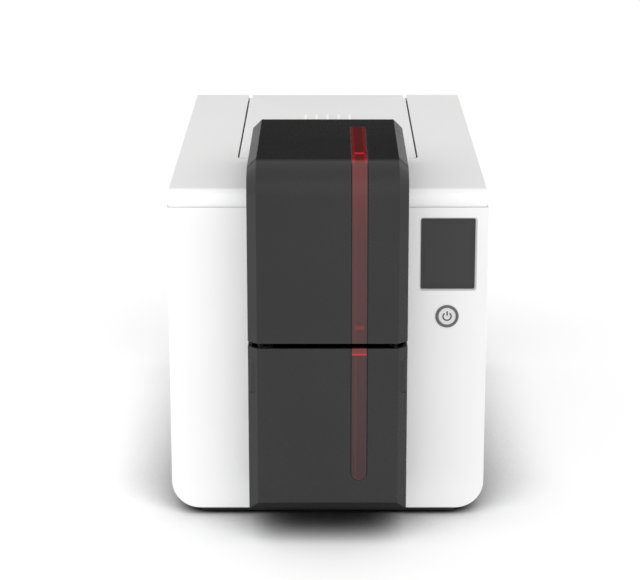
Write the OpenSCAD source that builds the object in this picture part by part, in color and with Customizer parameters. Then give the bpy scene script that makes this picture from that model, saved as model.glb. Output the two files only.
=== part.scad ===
// Desktop id card printer: white moulded body, black card feeder and output bin, geared card transport.
// X runs across the front, Y from front to back, Z up. The origin is under the centre of the whole machine.

/* [Body] */
// Width across the two side covers
body_w = 205; // [203:1:215]
// Depth from the front panels to the back
body_d = 329; // [325:1:340]
// Height of the white body, from underside to top
body_h = 214.6; // [213:0.2:220]
// Wall thickness of the mouldings
wall = 2.5; // [2.2:0.1:2.8]
// Radius of the long lower edges
edge_r = 18.5; // [14:0.5:22]
// Radius where the top turns down to the front
brow_r = 9.5; // [7:0.5:9.5]
// Height of the top cover's rim
rim_h = 9.8; // [9.6:0.1:11]
// Gap between neighbouring covers
seam = 1; // [0.6:0.1:1.4]
// How far the top cover stands in from the side covers
top_inset = 1; // [0.5:0.1:1.4]

/* [Base] */
// Height of the rubber feet
foot_h = 2; // [1.5:0.1:3]
// Radius of a rubber foot
foot_r = 9; // [7:0.5:11]
// Thickness of the base plate
base_t = 3; // [2.5:0.1:4]
// How far the feet stand in from the plate's sides and ends
foot_inset = 20; // [15:1:30]

/* [Lid] */
// Width of the lid
lid_w = 120; // [118:1:126]
// Width of the white strip between the hood and the lid
strip_l = 10.4; // [9:0.1:12]
// Gap beside the lid
lid_gap = 1.2; // [1:0.1:1.4]
// Gap in front of the lid
lid_front_gap = 1.5; // [1.2:0.1:1.8]
// Radius of the lid's front corners
lid_corner = 3; // [2:0.5:4]
// Distance of the groove across the lid behind its front edge
groove_setback = 46.5; // [40:0.5:50]
// Width of the groove
groove_w = 1.5; // [1:0.1:1.8]
// Radius of the lid's hinge barrel
barrel_r = 4; // [3.8:0.1:4.4]
// Number of grip ribs
rib_count = 5; // [3:1:5]
// Spacing of the grip ribs
rib_pitch = 8.1; // [7:0.1:8.5]
// Width of a grip rib
rib_w = 1.9; // [1.5:0.1:2.5]
// Distance of the grip ribs' rear ends behind the lid's front edge
rib_reach = 147.5; // [140:0.5:160]
// Length of the grip ribs
rib_l = 54; // [40:1:55]
// How far the ribs stand above the lid
rib_rise = 0.8; // [0.5:0.1:1.2]

/* [Tower] */
// Width of the feeder and output tower
tower_w = 100; // [98:1:103]
// How far the tower stands in front of the front panels
tower_reach = 52; // [50:0.5:55]
// How far the feeder hood stands above the top
tower_rise = 28.8; // [27:0.2:30]
// Length of the feeder hood, front to back
hood_l = 139.6; // [138:0.2:142]
// Size of the 45 degree bevels on the tower
bevel = 6; // [5:0.5:6.5]
// Radius of the hood's brow
nose_r = 22; // [16:0.5:24]
// Height of the split between door and hood
split_z = 131; // [129:0.5:132]
// Gap between door and hood
split_gap = 3.2; // [2.8:0.1:3.6]
// Height of the tower's underside
door_z = 22.8; // [21:0.2:24]
// Clear gap between the tower and the body round it
tower_gap = 1; // [0.6:0.1:1.4]

/* [Windows and grips] */
// Distance of the window strip's centre from the middle
strip_x = 19.7; // [17:0.1:21]
// Width of the window strip
strip_w = 10.4; // [9:0.1:11]
// How far the strip's end stays from the hood's back
strip_back = 24.8; // [22:0.2:40]
// Height of the strip's round lower end
strip_z = 43.8; // [40:0.2:60]
// Length of a finger grip
grip_h = 21; // [15:1:25]
// Depth of a finger grip
grip_depth = 0.7; // [0.4:0.1:1.2]
// Distance of the grips below the door's top edge
grip_drop = 9; // [6:1:15]

/* [Display and button] */
// Distance of the display glass from the panel's edge beside the tower
lcd_near = 8.6; // [8:0.1:10]
// Distance of the display glass from the panel's outer edge
lcd_far = 8.2; // [8:0.1:10]
// Height of the display's centre
lcd_z = 178.5; // [176:0.5:180]
// Height of the display glass
lcd_h = 46.6; // [42:0.1:48]
// Width of the grey lip right of and below the glass
lcd_lip = 1.2; // [0.8:0.1:1.5]
// Height of the power button's centre
button_z = 136.8; // [134:0.2:140]
// Outer radius of the ring round the button
ring_r = 7.5; // [7:0.1:8.5]
// Radius of the button cap
cap_r = 5.65; // [5.2:0.05:5.9]
// Travel of the power button
press = 1; // [0.6:0.1:1.2]

/* [Card path] */
// Length of a card
card_l = 85.6; // [85:0.1:86]
// Width of a card
card_w = 54; // [53:0.1:55]
// Thickness of a card
card_t = 0.76; // [0.7:0.01:0.8]
// Number of blank cards in the magazine
card_count = 24; // [10:1:40]
// Height of the card path
card_z = 138; // [137:0.5:139]
// Wall of the card magazine
bin_wall = 2; // [1.6:0.1:2.4]
// Height of the magazine's walls above the card path
bin_h = 62; // [55:1:66]

/* [Transport] */
// Thickness of the steel side frames
frame_t = 2; // [1.6:0.1:2.4]
// Radius of the driven rollers
roller_r = 8; // [7.5:0.1:8.5]
// Radius of the driven shafts
shaft_r = 3; // [2.6:0.1:3.2]
// Radius of the cleaning roller
cleaner_r = 6; // [5.5:0.1:6.5]
// Radius of the pinch roller
pinch_r = 5; // [4.5:0.1:5.5]
// Wall of a shaft bush
bush_wall = 2; // [1.6:0.1:2.2]
// Distance of the pick roller in front of the magazine's back
pick_inset = 19.2; // [18.8:0.1:20]
// Radius of the transport motor
motor_r = 18; // [15:0.5:19]
// Length of the transport motor
motor_l = 28; // [20:1:30]

/* [Gears] */
// Gear module
gear_m = 1; // [0.98:0.01:1.02]
// Face width of the gears
gear_w = 4.5; // [3.5:0.1:4.8]
// Teeth of a roller gear
roller_teeth = 24; // [24:2:26]
// Teeth of the idler by the pick roller
pick_idler_teeth = 22; // [20:2:22]
// Teeth of the long idler
long_idler_teeth = 46; // [44:2:46]
// Teeth of the idler by the platen
head_idler_teeth = 16; // [16:2:18]
// Teeth of a motor pinion
pinion_teeth = 14; // [14:1:16]
// Teeth of the take-up gear
take_up_teeth = 40; // [38:2:40]

/* [Ribbon] */
// Height of the spools above the card path
spool_rise = 37; // [36:0.5:38]
// Radius of the supply spool's flanges
supply_flange_r = 18; // [17:0.5:19]
// Radius of the ribbon on the supply spool
supply_r = 15; // [12:0.5:16]
// Radius of the take-up spool's flanges
take_up_flange_r = 15; // [13.5:0.5:15.5]
// Radius of the ribbon on the take-up spool
take_up_r = 10; // [9:0.5:12]
// Width of the ribbon
ribbon_w = 59; // [57:0.5:60]
// Radius of the spools' journals
journal_r = 4; // [3.5:0.1:4.5]
// Radius of the ribbon motor
ribbon_motor_r = 9; // [8:0.5:9.5]
// Length of the ribbon motor
ribbon_motor_l = 10; // [8:0.5:10]

/* [Hinges and fits] */
// Radius of the hinge pins of hood and door
pin_r = 2.5; // [2:0.1:2.8]
// Radius of the lid's hinge pins
lid_pin_r = 2; // [1.6:0.1:2.2]
// Radial clearance of a running fit
run_fit = 0.05; // [0.03:0.01:0.08]
// Radial clearance of a seated pin or glued insert
seat_fit = 0.02; // [0.01:0.01:0.05]
// Clear gap between a moving piece and its neighbour
clear = 0.3; // [0.25:0.05:0.4]

/* [Hidden] */
$fn = 64;

// Heights
body_z = foot_h + base_t;
top_z = body_z + body_h;
rim_z = top_z - rim_h;
side_top = rim_z - seam;
tower_top = top_z + tower_rise;
hood_z = split_z + split_gap;

// Places from front to back
overall_d = body_d + tower_reach;
tower_y = -overall_d / 2;
front_y = tower_y + tower_reach;
back_y = overall_d / 2;
hood_back = tower_y + hood_l;
lid_y = hood_back + tower_gap + strip_l;
tuck = 3;
tuck_y = front_y + tuck;

// Opening for the tower, and the display in the panel beside it
opening = tower_w / 2 + tower_gap;
lcd_w = body_w / 2 - opening - lcd_near - lcd_far;
lcd_x = opening + lcd_near + lcd_w / 2;

// Hinge axes
lid_axis = [back_y - barrel_r, top_z - barrel_r];
hood_axis = [hood_back - 9.1, tower_top - 12.4];
door_axis = [tower_y + 24.5, door_z + 8.2];

// Side frames, from the middle outwards
boss_l = 3.2;
frame_out = tower_w / 2 - wall - boss_l - clear;
frame_in = frame_out - frame_t;
gear_x = frame_out + 1.2;

// Magazine and rollers along the card path
bin_y = tower_y + wall + 2;
card_play = 0.6;
bin_back = bin_y + card_l + card_play;
card_end = card_w / 2 + 0.4;
shaft_z = card_z - clear - roller_r;
card_top = card_z + card_t;
pick_y = bin_back - pick_inset;
pick_idler_y = pick_y + pitch_sum(roller_teeth, pick_idler_teeth);
entry_y = pick_idler_y + pitch_sum(pick_idler_teeth, roller_teeth);
long_idler_y = entry_y + pitch_sum(roller_teeth, long_idler_teeth);
feed_y = long_idler_y + pitch_sum(long_idler_teeth, roller_teeth);
head_idler_y = feed_y + pitch_sum(roller_teeth, head_idler_teeth);
platen_y = head_idler_y + pitch_sum(head_idler_teeth, roller_teeth);
motor_z = shaft_z - pitch_sum(long_idler_teeth, pinion_teeth);
roller_ys = [pick_y, entry_y, feed_y, platen_y];
idler_ys = [pick_idler_y, long_idler_y, head_idler_y];

// Upper rollers and spools, as [y, z]
cleaner = [entry_y, card_top + clear + cleaner_r];
pinch = [feed_y, card_top + clear + pinch_r];
upper_shaft_r = 2;
take_up = [platen_y - 59, card_z + spool_rise];
supply = [platen_y + 55, card_z + spool_rise];
ribbon_motor_y = take_up[0] - pitch_sum(take_up_teeth, pinion_teeth);
ribbon_shaft_r = 1.5;
motor_shaft_r = 2.5;
frame_back = supply[0] + supply_flange_r + 6;
frame_top = card_z + spool_rise + supply_flange_r + 7;

// Print head
nose_z = card_top + 0.7;
film_t = 0.2;
film_z = nose_z - clear - film_t;

// Rear panel and electronics
panel_back = back_y - 2.5;
panel_front = panel_back - wall;
flange_front = panel_front - wall;
board_x = -frame_out - 18;
board_t = 1.6;
socket_zs = [40, 64, 88];

// Distance between the centres of two gears in mesh.
function pitch_sum(teeth_a, teeth_b) = gear_m * (teeth_a + teeth_b) / 2;

// Turns a gear so that it meshes with a neighbour of known phase that lies in the given direction from it.
function mesh_phase(phase, teeth, own_teeth, direction) =
    direction + 180 - 360 / own_teeth * ((phase - direction) * teeth / 360 + 0.5);

// ---------- Working shapes ----------

// A flat shape in X and Z, run from front to back.
module run_y(y0, y1) translate([0, y1, 0]) rotate([90, 0, 0]) linear_extrude(y1 - y0) children();

// A flat shape in Y and Z, run from side to side.
module run_x(x0, x1) translate([x0, 0, 0]) rotate([90, 0, 90]) linear_extrude(x1 - x0) children();

// A flat shape in X and Y, run upwards.
module run_z(z0, z1) translate([0, 0, z0]) linear_extrude(z1 - z0) children();

// A block between two corners.
module block(low, high) translate(low) cube(high - low);

// A round bar or bore along X through the point [y, z].
module bar_x(r, x0, x1, at) translate([x0, at[0], at[1]]) rotate([0, 90, 0]) cylinder(r = r, h = x1 - x0);

// A round bar or bore along Y through the point [x, z].
module bar_y(r, y0, y1, at) translate([at[0], y1, at[1]]) rotate([90, 0, 0]) cylinder(r = r, h = y1 - y0);

// A round bar along Z.
module bar_z(r, z0, z1, at) translate([at[0], at[1], z0]) cylinder(r = r, h = z1 - z0);

// The children and their mirror image across the middle.
module both_sides() {
    children();
    mirror([1, 0, 0]) children();
}

// Rectangle with true round corners.
module round_rect(low, high, r) {
    translate(low + [r, 0]) square(high - low - [2 * r, 0]);
    translate(low + [0, r]) square(high - low - [0, 2 * r]);
    for (x = [low[0] + r, high[0] - r], y = [low[1] + r, high[1] - r]) translate([x, y]) circle(r);
}

// ---------- Casing ----------

// Front view of the white body at a wall depth, with its round lower edges.
module body_outline(inset) {
    half = body_w / 2 - inset;
    low = body_z + inset;
    r = edge_r - inset;
    translate([-half, low + r]) square([2 * half, side_top - low - r]);
    translate([r - half, low]) square([2 * (half - r), r]);
    for (side = [-1, 1]) translate([side * (half - r), low + r]) circle(r);
}

// One moulded side: front panel, side wall, foot ledge on the base plate and a flange for the rear panel.
module side_cover() {
    flange_w = 10;
    ledge_x = body_w / 2 - edge_r - 14;
    difference() {
        run_y(front_y, back_y) body_outline(0);
        run_y(front_y + wall, flange_front) body_outline(wall);
        run_y(flange_front - 1, panel_front) body_outline(wall + flange_w);
        run_y(panel_front, back_y + 1) body_outline(wall);
        block([-body_w, front_y - 1, 0], [opening, back_y + 1, top_z]);
        block([opening - 1, front_y + wall, 0], [ledge_x, back_y + 1, body_z + wall + flange_w]);
        for (at = screw_places) bar_y(screw_r + screw_fit, flange_front - 1, back_y, at);
    }
    // rib that stiffens the panel's edge beside the tower
    block([opening, front_y + wall - 0.5, body_z + 30], [opening + wall, front_y + 9, side_top - 8]);
}
screw_r = 1.5;
screw_fit = 0.1;
screw_head_r = 2.8;
screw_places = [for (z = [40, 120, 196]) [body_w / 2 - wall - 5, z]];

module left_side_cover() color("white") mirror([1, 0, 0]) side_cover();

// Opening for the display frame, shared by the cover and the frame.
glass_low = [lcd_x - lcd_w / 2, lcd_z - lcd_h / 2];
glass_high = [lcd_x + lcd_w / 2, lcd_z + lcd_h / 2];
frame_low = glass_low - [lcd_lip / 3, lcd_lip];
frame_high = glass_high + [lcd_lip, lcd_lip / 3];
frame_corner = 1.8;
glass_corner = frame_corner - lcd_lip / 2;
board_front = front_y + 10;
switch_half = lcd_w / 2 - 1.3;

module right_side_cover() color("white") {
    difference() {
        side_cover();
        run_y(front_y - 1, front_y + wall + 1)
            round_rect(frame_low - [seat_fit, seat_fit], frame_high + [seat_fit, seat_fit], frame_corner);
        bar_y(ring_r + seat_fit, front_y - 1, front_y + wall + 1, [lcd_x, button_z]);
    }
    // posts that carry the switch board
    for (side = [-1, 1])
        bar_y(2.5, front_y + wall - 0.5, board_front, [lcd_x + side * (switch_half - 4), button_z - 8]);
}

// Black base: floor plate with an apron that closes the front below the tower.
module base_plate() color([0.13, 0.13, 0.14]) {
    half = body_w / 2 - edge_r - 0.5;
    block([-half, front_y + wall, foot_h], [half, panel_back, body_z]);
    block([-tower_w / 2, tuck_y + 2.5, body_z - 0.5], [tower_w / 2, tuck_y + 5, door_z - 1]);
}

module rubber_feet() color([0.1, 0.1, 0.1]) {
    x = body_w / 2 - edge_r - foot_inset;
    for (side = [-1, 1], y = [front_y + foot_inset, back_y - foot_inset])
        bar_z(foot_r, 0, foot_h, [side * x, y]);
}

// Dark rear panel, set into the covers, with sockets and a field of vents.
module rear_panel() color([0.2, 0.2, 0.21]) {
    vent_size = [3, 20];
    vent_pitch = 6;
    vent_count = 12;
    low = body_z + wall + clear;
    difference() {
        union() {
            run_y(panel_front, panel_back) intersection() {
                body_outline(wall + clear);
                translate([-body_w, low]) square([2 * body_w, side_top - low]);
            }
            block([-lid_w / 2, panel_front, side_top - 1],
                [lid_w / 2, panel_back, lid_axis[1] - barrel_r - 0.6]);
        }
        for (i = [0:vent_count - 1], z = [140, 168])
            run_y(panel_front - 1, panel_back + 1)
                translate([(i - (vent_count - 1) / 2) * vent_pitch - vent_size[0] / 2, z])
                    round_rect([0, 0], vent_size, 1.4);
        for (i = [0:2]) run_y(panel_front - 1, panel_back + 1)
            socket_outline(i, 0.3);
        for (side = [-1, 1], at = screw_places)
            bar_y(screw_r + screw_fit, panel_front - 1, panel_back + 1, [side * at[0], at[1]]);
        // security slot
        run_y(panel_front - 1, panel_back + 1) round_rect([60, 30], [67, 33], 1.4);
    }
}

// Outline of one socket on the mainboard: power inlet, USB and network, from the bottom up.
socket_sizes = [[9, 11], [11, 12], [13.5, 16]];
socket_l = 16;
module socket_outline(i, grow) {
    size = socket_sizes[i];
    low = [board_x - size[0], socket_zs[i] - size[1] / 2];
    translate(low - [grow, grow]) square(size + [2 * grow, 2 * grow]);
}

module cover_screws() color("silver") both_sides() for (at = screw_places) {
    bar_y(screw_r, flange_front - 3, panel_back + 0.5, at);
    bar_y(screw_head_r, panel_back, panel_back + 1.8, at);
}

// Side view of the top cover at a wall depth, with its round brow.
module top_outline(inset) {
    low = rim_z;
    high = top_z - inset;
    near = front_y + inset;
    r = brow_r - inset;
    intersection() {
        union() {
            translate([near + r, low - r]) square([back_y - inset - near - r, high - low + r]);
            translate([near, low - r]) square([r + 1, high - low]);
            translate([near + r, high - r]) circle(r);
        }
        translate([near - 1, low]) square([body_d + 2, rim_h]);
    }
}

// Plan of the lid with round front corners, or with a margin its opening in the top cover.
module lid_plan(side_grow, front_grow, rear) {
    half = lid_w / 2 + side_grow;
    near = lid_y - front_grow;
    r = lid_corner + side_grow;
    translate([-half, near + r]) square([2 * half, rear - near - r]);
    translate([r - half, near]) square([2 * (half - r), r + 1]);
    for (side = [-1, 1]) translate([side * (half - r), near + r]) circle(r);
}

// White frame round the lid and the tower, with a tongue inside the side covers and gutters beside the lid.
gutter_drop = 12;
seam_depth = 0.6;
module top_cover() color("white") {
    half = body_w / 2 - top_inset;
    hole = lid_w / 2 + lid_gap;
    tongue_out = body_w / 2 - wall - clear;
    tongue_t = 1.8;
    tongue_low = side_top - 5;
    tongue_front = front_y + wall + clear;
    tongue_back = flange_front - clear;
    ledge_z = top_z - wall - clear;
    gutter_z = ledge_z - gutter_drop;
    difference() {
        union() {
            difference() {
                run_x(-half, half) top_outline(0);
                run_x(wall - half, half - wall) translate([0, -0.01]) top_outline(wall);
            }
            // tongue behind the seam
            difference() {
                block([-tongue_out, tongue_front, tongue_low], [tongue_out, tongue_back, top_z - wall]);
                block([tongue_t - tongue_out, tongue_front + tongue_t, tongue_low - 1],
                    [tongue_out - tongue_t, tongue_back - tongue_t, top_z]);
            }
            // lip that closes the seam a little behind the faces
            difference() {
                block([seam_depth - half, front_y + seam_depth, side_top + 0.1],
                    [half - seam_depth, back_y - seam_depth, rim_z + 1]);
                block([wall - half, front_y + wall, side_top], [half - wall, back_y - wall + 0.4, top_z]);
            }
            // gutters and walls beside the lid
            both_sides() {
                block([hole - 4.5, hood_back, gutter_z - 2], [hole + 2, lid_axis[0] - 14, gutter_z]);
                block([hole, hood_back, gutter_z - 2], [hole + 2, lid_axis[0] - 14, top_z - 1]);
                block([hole, lid_axis[0] - 7, rim_z], [hole + 7, back_y, top_z - 0.5]);
            }
            // bridge between hood and lid
            block([-hole, hood_back + tower_gap, ledge_z - 2], [hole, lid_y + 3, ledge_z]);
        }
        block([-opening, front_y - 1, tongue_low - 1], [opening, hood_back + tower_gap, top_z + 1]);
        run_z(ledge_z, top_z + 1) lid_plan(lid_gap, lid_front_gap, back_y + 1);
        block([-hole, lid_axis[0] - 14, tongue_low - 1], [hole, back_y + 1, ledge_z + 1]);
        both_sides() bar_x(lid_pin_r + seat_fit, hole - 1, hole + 5, lid_axis);
    }
}

// ---------- Lid ----------

module top_lid() color("white") {
    half = lid_w / 2;
    skirt_x = half - lid_gap - 6.2;
    skirt_z = top_z - 10;
    groove_y = lid_y + groove_setback;
    groove_depth = 0.8;
    notch_w = 1.5;
    notch_l = 13;
    difference() {
        union() {
            run_z(top_z - wall, top_z) lid_plan(0, 0, lid_axis[0]);
            bar_x(barrel_r, -half, half, lid_axis);
            run_x(-half, half) round_rect([lid_axis[0] - barrel_r, lid_axis[1] - 1.5], [back_y, top_z], 1.2);
            difference() {
                block([-skirt_x, lid_y + 6, skirt_z], [skirt_x, lid_axis[0] - 18, top_z - wall + 0.1]);
                block([2 - skirt_x, lid_y + 8, skirt_z - 1], [skirt_x - 2, lid_axis[0] - 20, top_z - wall]);
            }
        }
        block([-half - 1, groove_y, top_z - groove_depth], [half + 1, groove_y + groove_w, top_z + 1]);
        // notches beside the hinge
        both_sides() block([half - notch_w, back_y - notch_l, lid_axis[1] - barrel_r - 1],
            [half + 1, back_y + 1, top_z + 1]);
        for (i = [0:rib_count - 1]) rib_block(i, seat_fit, top_z - wall - 1, top_z + 1);
        both_sides() bar_x(lid_pin_r + run_fit, half - 8, half + 1, lid_axis);
    }
}

// One grip rib, or with a margin its slot in the lid.
module rib_block(i, grow, z0, z1) {
    x = (i - (rib_count - 1) / 2) * rib_pitch;
    run_z(z0, z1) round_rect([x - rib_w / 2 - grow, rib_end - rib_l - grow],
        [x + rib_w / 2 + grow, rib_end + grow], rib_w / 2 - 0.05);
}
rib_end = lid_y + rib_reach;

// Grip insert: a plate glued under the lid, its ribs standing up through the lid's slots.
module lid_grip() color("white") {
    reach = (rib_count - 1) / 2 * rib_pitch + 4;
    under = top_z - wall;
    block([-reach, rib_end - rib_l - 3, under - 1.6], [reach, rib_end + 3, under]);
    for (i = [0:rib_count - 1]) rib_block(i, 0, under - 0.5, top_z + rib_rise);
}

// Pins pressed into the top cover; the lid turns on them.
module lid_hinge_pins() color("silver") both_sides()
    bar_x(lid_pin_r, lid_w / 2 - 7, lid_w / 2 + lid_gap + 4.5, lid_axis);

// Bracket that hangs the print head from the lid.
head_half = ribbon_w / 2 + 2;
head_h = 13;
head_top = nose_z + head_h;
bracket_t = 3;
module head_bracket() color([0.55, 0.56, 0.58]) {
    plate_z = top_z - wall - bracket_t;
    flange_l = 12;
    gusset_t = 2;
    gusset_l = 8;
    back = platen_y - bracket_t;
    hole_w = 20;
    difference() {
        union() {
            block([-head_half - 4, platen_y - flange_l, plate_z],
                [head_half + 4, platen_y + flange_l, plate_z + bracket_t]);
            block([-head_half, back, head_top], [head_half, platen_y, plate_z]);
            for (x = [-head_half, -gusset_t / 2, head_half - gusset_t]) run_x(x, x + gusset_t)
                polygon([[back, plate_z], [back, head_top + gusset_l], [back - 1, head_top + gusset_l],
                    [back - gusset_l, plate_z]]);
        }
        for (x = [-16, 16]) run_y(back - 1, platen_y + 1)
            round_rect([x - hole_w / 2, head_top + 14], [x + hole_w / 2, plate_z - flange_l], 4);
    }
}

// Print head: aluminium heat sink with fins and a narrow printing edge.
module print_head() color([0.75, 0.76, 0.78]) difference() {
    run_x(-head_half, head_half) polygon([
        [platen_y - 1.2, nose_z], [platen_y + 1.2, nose_z], [platen_y + 3, nose_z + 2.5],
        [platen_y + 7, nose_z + 3], [platen_y + 7, head_top], [platen_y - 7, head_top],
        [platen_y - 7, nose_z + 3], [platen_y - 3, nose_z + 2.5]]);
    for (i = [0:2]) block([-head_half - 1, platen_y + 3.5, head_top - 2.2 - i * 3],
        [head_half + 1, platen_y + 8, head_top - 1 - i * 3]);
}

// ---------- Feeder hood ----------

bevel_shrink = 2 - sqrt(2);

// Plan of the tower at a wall depth.
module tower_plan(inset, rear) {
    half = tower_w / 2 - inset;
    near = tower_y + inset;
    cut = bevel - inset * bevel_shrink;
    polygon([[-half, rear], [-half, near + cut], [cut - half, near], [half - cut, near], [half, near + cut],
        [half, rear]]);
}

// Solid form of the hood at a wall depth: bevelled front and top, joined by a turned brow.
module hood_form(inset, low, rear) {
    half = tower_w / 2 - inset;
    high = tower_top - inset;
    cut = bevel - inset * bevel_shrink;
    r = nose_r - inset;
    brow = [tower_y + nose_r, tower_top - nose_r];
    run_z(low, brow[1]) tower_plan(inset, rear);
    run_y(brow[0], rear)
        polygon([[-half, low], [-half, high - cut], [cut - half, high],
            [half - cut, high], [half, high - cut], [half, low]]);
    translate([0, brow[0], brow[1]]) rotate([0, 90, 0]) rotate_extrude()
        polygon([[0, -half], [r - cut, -half], [r, cut - half], [r, half - cut], [r - cut, half], [0, half]]);
}

hood_rim = top_z - 3.6;

module feeder_hood() color([0.12, 0.12, 0.13]) difference() {
    union() {
        difference() {
            hood_form(0, hood_z, hood_back);
            hood_form(wall, hood_z - 1, hood_back - wall);
        }
        both_sides() bar_x(6, tower_w / 2 - wall - boss_l, tower_w / 2 - 1, hood_axis);
    }
    block([-tower_w, tuck_y, 0], [tower_w, hood_back + 1, hood_rim]);
    strip_plan(0);
    both_sides() bar_x(pin_r + seat_fit, frame_in, tower_w / 2 - 0.8, hood_axis);
}

// Plan of the window strip on the hood.
module strip_plan(inset) {
    half = strip_w / 2 - inset;
    run_z(hood_z - 1, tower_top + 1)
        round_rect([strip_x - half, tower_y - 20], [strip_x + half, hood_back - strip_back - inset], 2);
}

// Red window let into the hood, flush with it over the brow.
module feeder_window() color([0.5, 0.1, 0.1, 0.7]) intersection() {
    difference() {
        hood_form(0, hood_z, hood_back);
        hood_form(wall, hood_z - 1, hood_back);
    }
    strip_plan(seat_fit);
}

module hood_hinge_pins() color("silver") both_sides()
    bar_x(pin_r, frame_in - 0.5, tower_w / 2 - 1, hood_axis);

// ---------- Output door ----------

// Solid form of the door at a wall depth: bevelled at the sides and the foot.
module door_form(inset, high, rear) {
    half = tower_w / 2 - inset;
    near = tower_y + inset;
    low = door_z + inset;
    cut = bevel - inset * bevel_shrink;
    intersection() {
        run_z(low, high) tower_plan(inset, rear);
        run_x(-half, half)
            polygon([[near, high], [near, low + cut], [near + cut, low], [rear, low], [rear, high]]);
    }
}

swing_r = hood_z - clear - door_axis[1];

// Tilting door of the output bin, with finger grips in its bevels and slots in its floor for the hinge arms.
module output_door() color([0.12, 0.12, 0.13]) {
    slot_in = frame_in - 0.5;
    difference() {
        union() {
            difference() {
                door_form(0, split_z, tuck_y);
                door_form(wall, split_z + 1, tuck_y + 1);
            }
            both_sides() bar_x(5, tower_w / 2 - wall - boss_l, tower_w / 2 - 1, door_axis);
        }
        // top edge clears the hood over the whole tilt
        difference() {
            block([-tower_w, door_axis[0], split_z - 40], [tower_w, tuck_y + 1, split_z + 1]);
            bar_x(swing_r, -tower_w, tower_w, door_axis);
        }
        both_sides() block([slot_in, door_axis[0] - 8, door_z - 1],
            [frame_out + clear, tuck_y + 1, door_z + wall + 1]);
        both_sides() bar_x(pin_r + seat_fit, frame_in, tower_w / 2 - 0.8, door_axis);
        // finger grips, from the middle of the bevels out through the sides
        both_sides() translate([tower_w / 2 - bevel / 2, tower_y + bevel / 2, 0]) rotate([0, 0, 45])
            run_z(split_z - grip_drop - grip_h, split_z - grip_drop)
                translate([0, -1]) square([bevel, 1 + grip_depth]);
        door_strip(0);
    }
}

// Window strip in the door, with a half-round lower end.
module door_strip(inset) {
    half = strip_w / 2 - inset;
    run_y(tower_y - 1, tower_y + wall + 1) {
        translate([strip_x - half, strip_z + strip_w / 2]) square([2 * half, split_z]);
        translate([strip_x, strip_z + strip_w / 2]) circle(half);
    }
}

module output_window() color([0.5, 0.1, 0.1, 0.7]) intersection() {
    block([-tower_w / 2, tower_y, door_z], [tower_w / 2, tower_y + wall, split_z]);
    door_strip(seat_fit);
}

// Tray in the bin that catches the printed cards.
module output_tray() color([0.25, 0.25, 0.26]) {
    half = frame_in - 2;
    low = door_z + wall;
    near = tower_y + wall + bevel;
    rear = bin_back;
    block([-half, near, low], [half, rear, low + 2]);
    both_sides() run_x(half - 2, half)
        polygon([[near, low + 1], [near, low + 20], [near + 30, low + 20], [rear, low + 7], [rear, low + 1]]);
    for (x = [-24, -8, 8, 24]) block([x - 1, near + 4, low + 1.5], [x + 1, rear - 4, low + 3]);
}

module door_hinge_pins() color("silver") both_sides()
    bar_x(pin_r, frame_in - 0.5, tower_w / 2 - 1, door_axis);

// ---------- Display and button ----------

glass_t = 1.6;

module display_window() color([0.2, 0.2, 0.22]) run_y(front_y, front_y + glass_t)
    round_rect(glass_low + [seat_fit, seat_fit], glass_high - [seat_fit, seat_fit], glass_corner);

// Grey frame round the glass, with a ledge behind it.
module display_frame() color([0.75, 0.75, 0.76]) {
    difference() {
        run_y(front_y - 0.2, front_y + wall) round_rect(frame_low, frame_high, frame_corner);
        run_y(front_y - 1, front_y + glass_t) round_rect(glass_low, glass_high, glass_corner);
        run_y(front_y, front_y + wall + 1) round_rect(glass_low + [2, 2], glass_high - [2, 2], 1);
    }
}

module display_module() color([0.2, 0.3, 0.22])
    block([glass_low[0] - 2, front_y + wall, glass_low[1] - 3],
        [glass_high[0] + 2, front_y + wall + 4, glass_high[1] + 1]);

cap_front = front_y - 0.4;
flange_gap = 0.05;

// Cap of the power button: a shallow cup with a retaining flange and a stem over the switch.
module power_button() color("whitesmoke") {
    flange_y = front_y + wall + flange_gap;
    difference() {
        union() {
            bar_y(cap_r, cap_front, flange_y + 1, [lcd_x, button_z]);
            bar_y(cap_r + 1, flange_y, flange_y + 1, [lcd_x, button_z]);
        }
        bar_y(cap_r - 1.5, cap_front + 1.5, flange_y + 2, [lcd_x, button_z]);
    }
    bar_y(1.4, cap_front + 1, board_front - press - 0.35, [lcd_x, button_z]);
}

// Grey ring pressed into the cover; the cap slides in it.
module button_ring() color([0.45, 0.45, 0.47]) difference() {
    bar_y(ring_r, front_y - 0.6, front_y + wall, [lcd_x, button_z]);
    bar_y(cap_r + 0.1, front_y - 1, front_y + wall + 1, [lcd_x, button_z]);
}

module switch_board() color([0.1, 0.35, 0.2])
    block([lcd_x - switch_half, board_front, button_z - 12],
        [lcd_x + switch_half, board_front + board_t, button_z + 9]);

// Point of a coil spring's wire axis along Y, at a turn from 0 upwards.
function coil_point(turn, turns, r, y0, y1) =
    [r * cos(360 * turn), y0 + (y1 - y0) * turn / turns, r * sin(360 * turn)];

// Coil spring along Y: rings of six points swept along the helix.
module coil_spring(r, wire_r, turns, y0, y1) {
    steps = 12 * turns;
    ring = 6;
    points = [for (i = [0:steps], k = [0:ring - 1])
        let (turn = i / 12, a = 360 * k / ring, reach = r + wire_r * cos(a))
        coil_point(turn, turns, reach, y0, y1) + [0, wire_r * sin(a), 0]];
    sides = [for (i = [0:steps - 1], k = [0:ring - 1])
        let (next = (k + 1) % ring)
        [i * ring + k, i * ring + next, (i + 1) * ring + next, (i + 1) * ring + k]];
    cap_a = [for (k = [ring - 1:-1:0]) k];
    cap_b = [for (k = [0:ring - 1]) steps * ring + k];
    polyhedron(points, concat(sides, [cap_a, cap_b]), convexity = 4);
}

module button_spring() color("silver") translate([lcd_x, 0, button_z])
    coil_spring(3.1, 0.3, 4, cap_front + 1.85, board_front - 0.35);

// ---------- Chassis ----------

arm_front = bin_y + 8;

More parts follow.
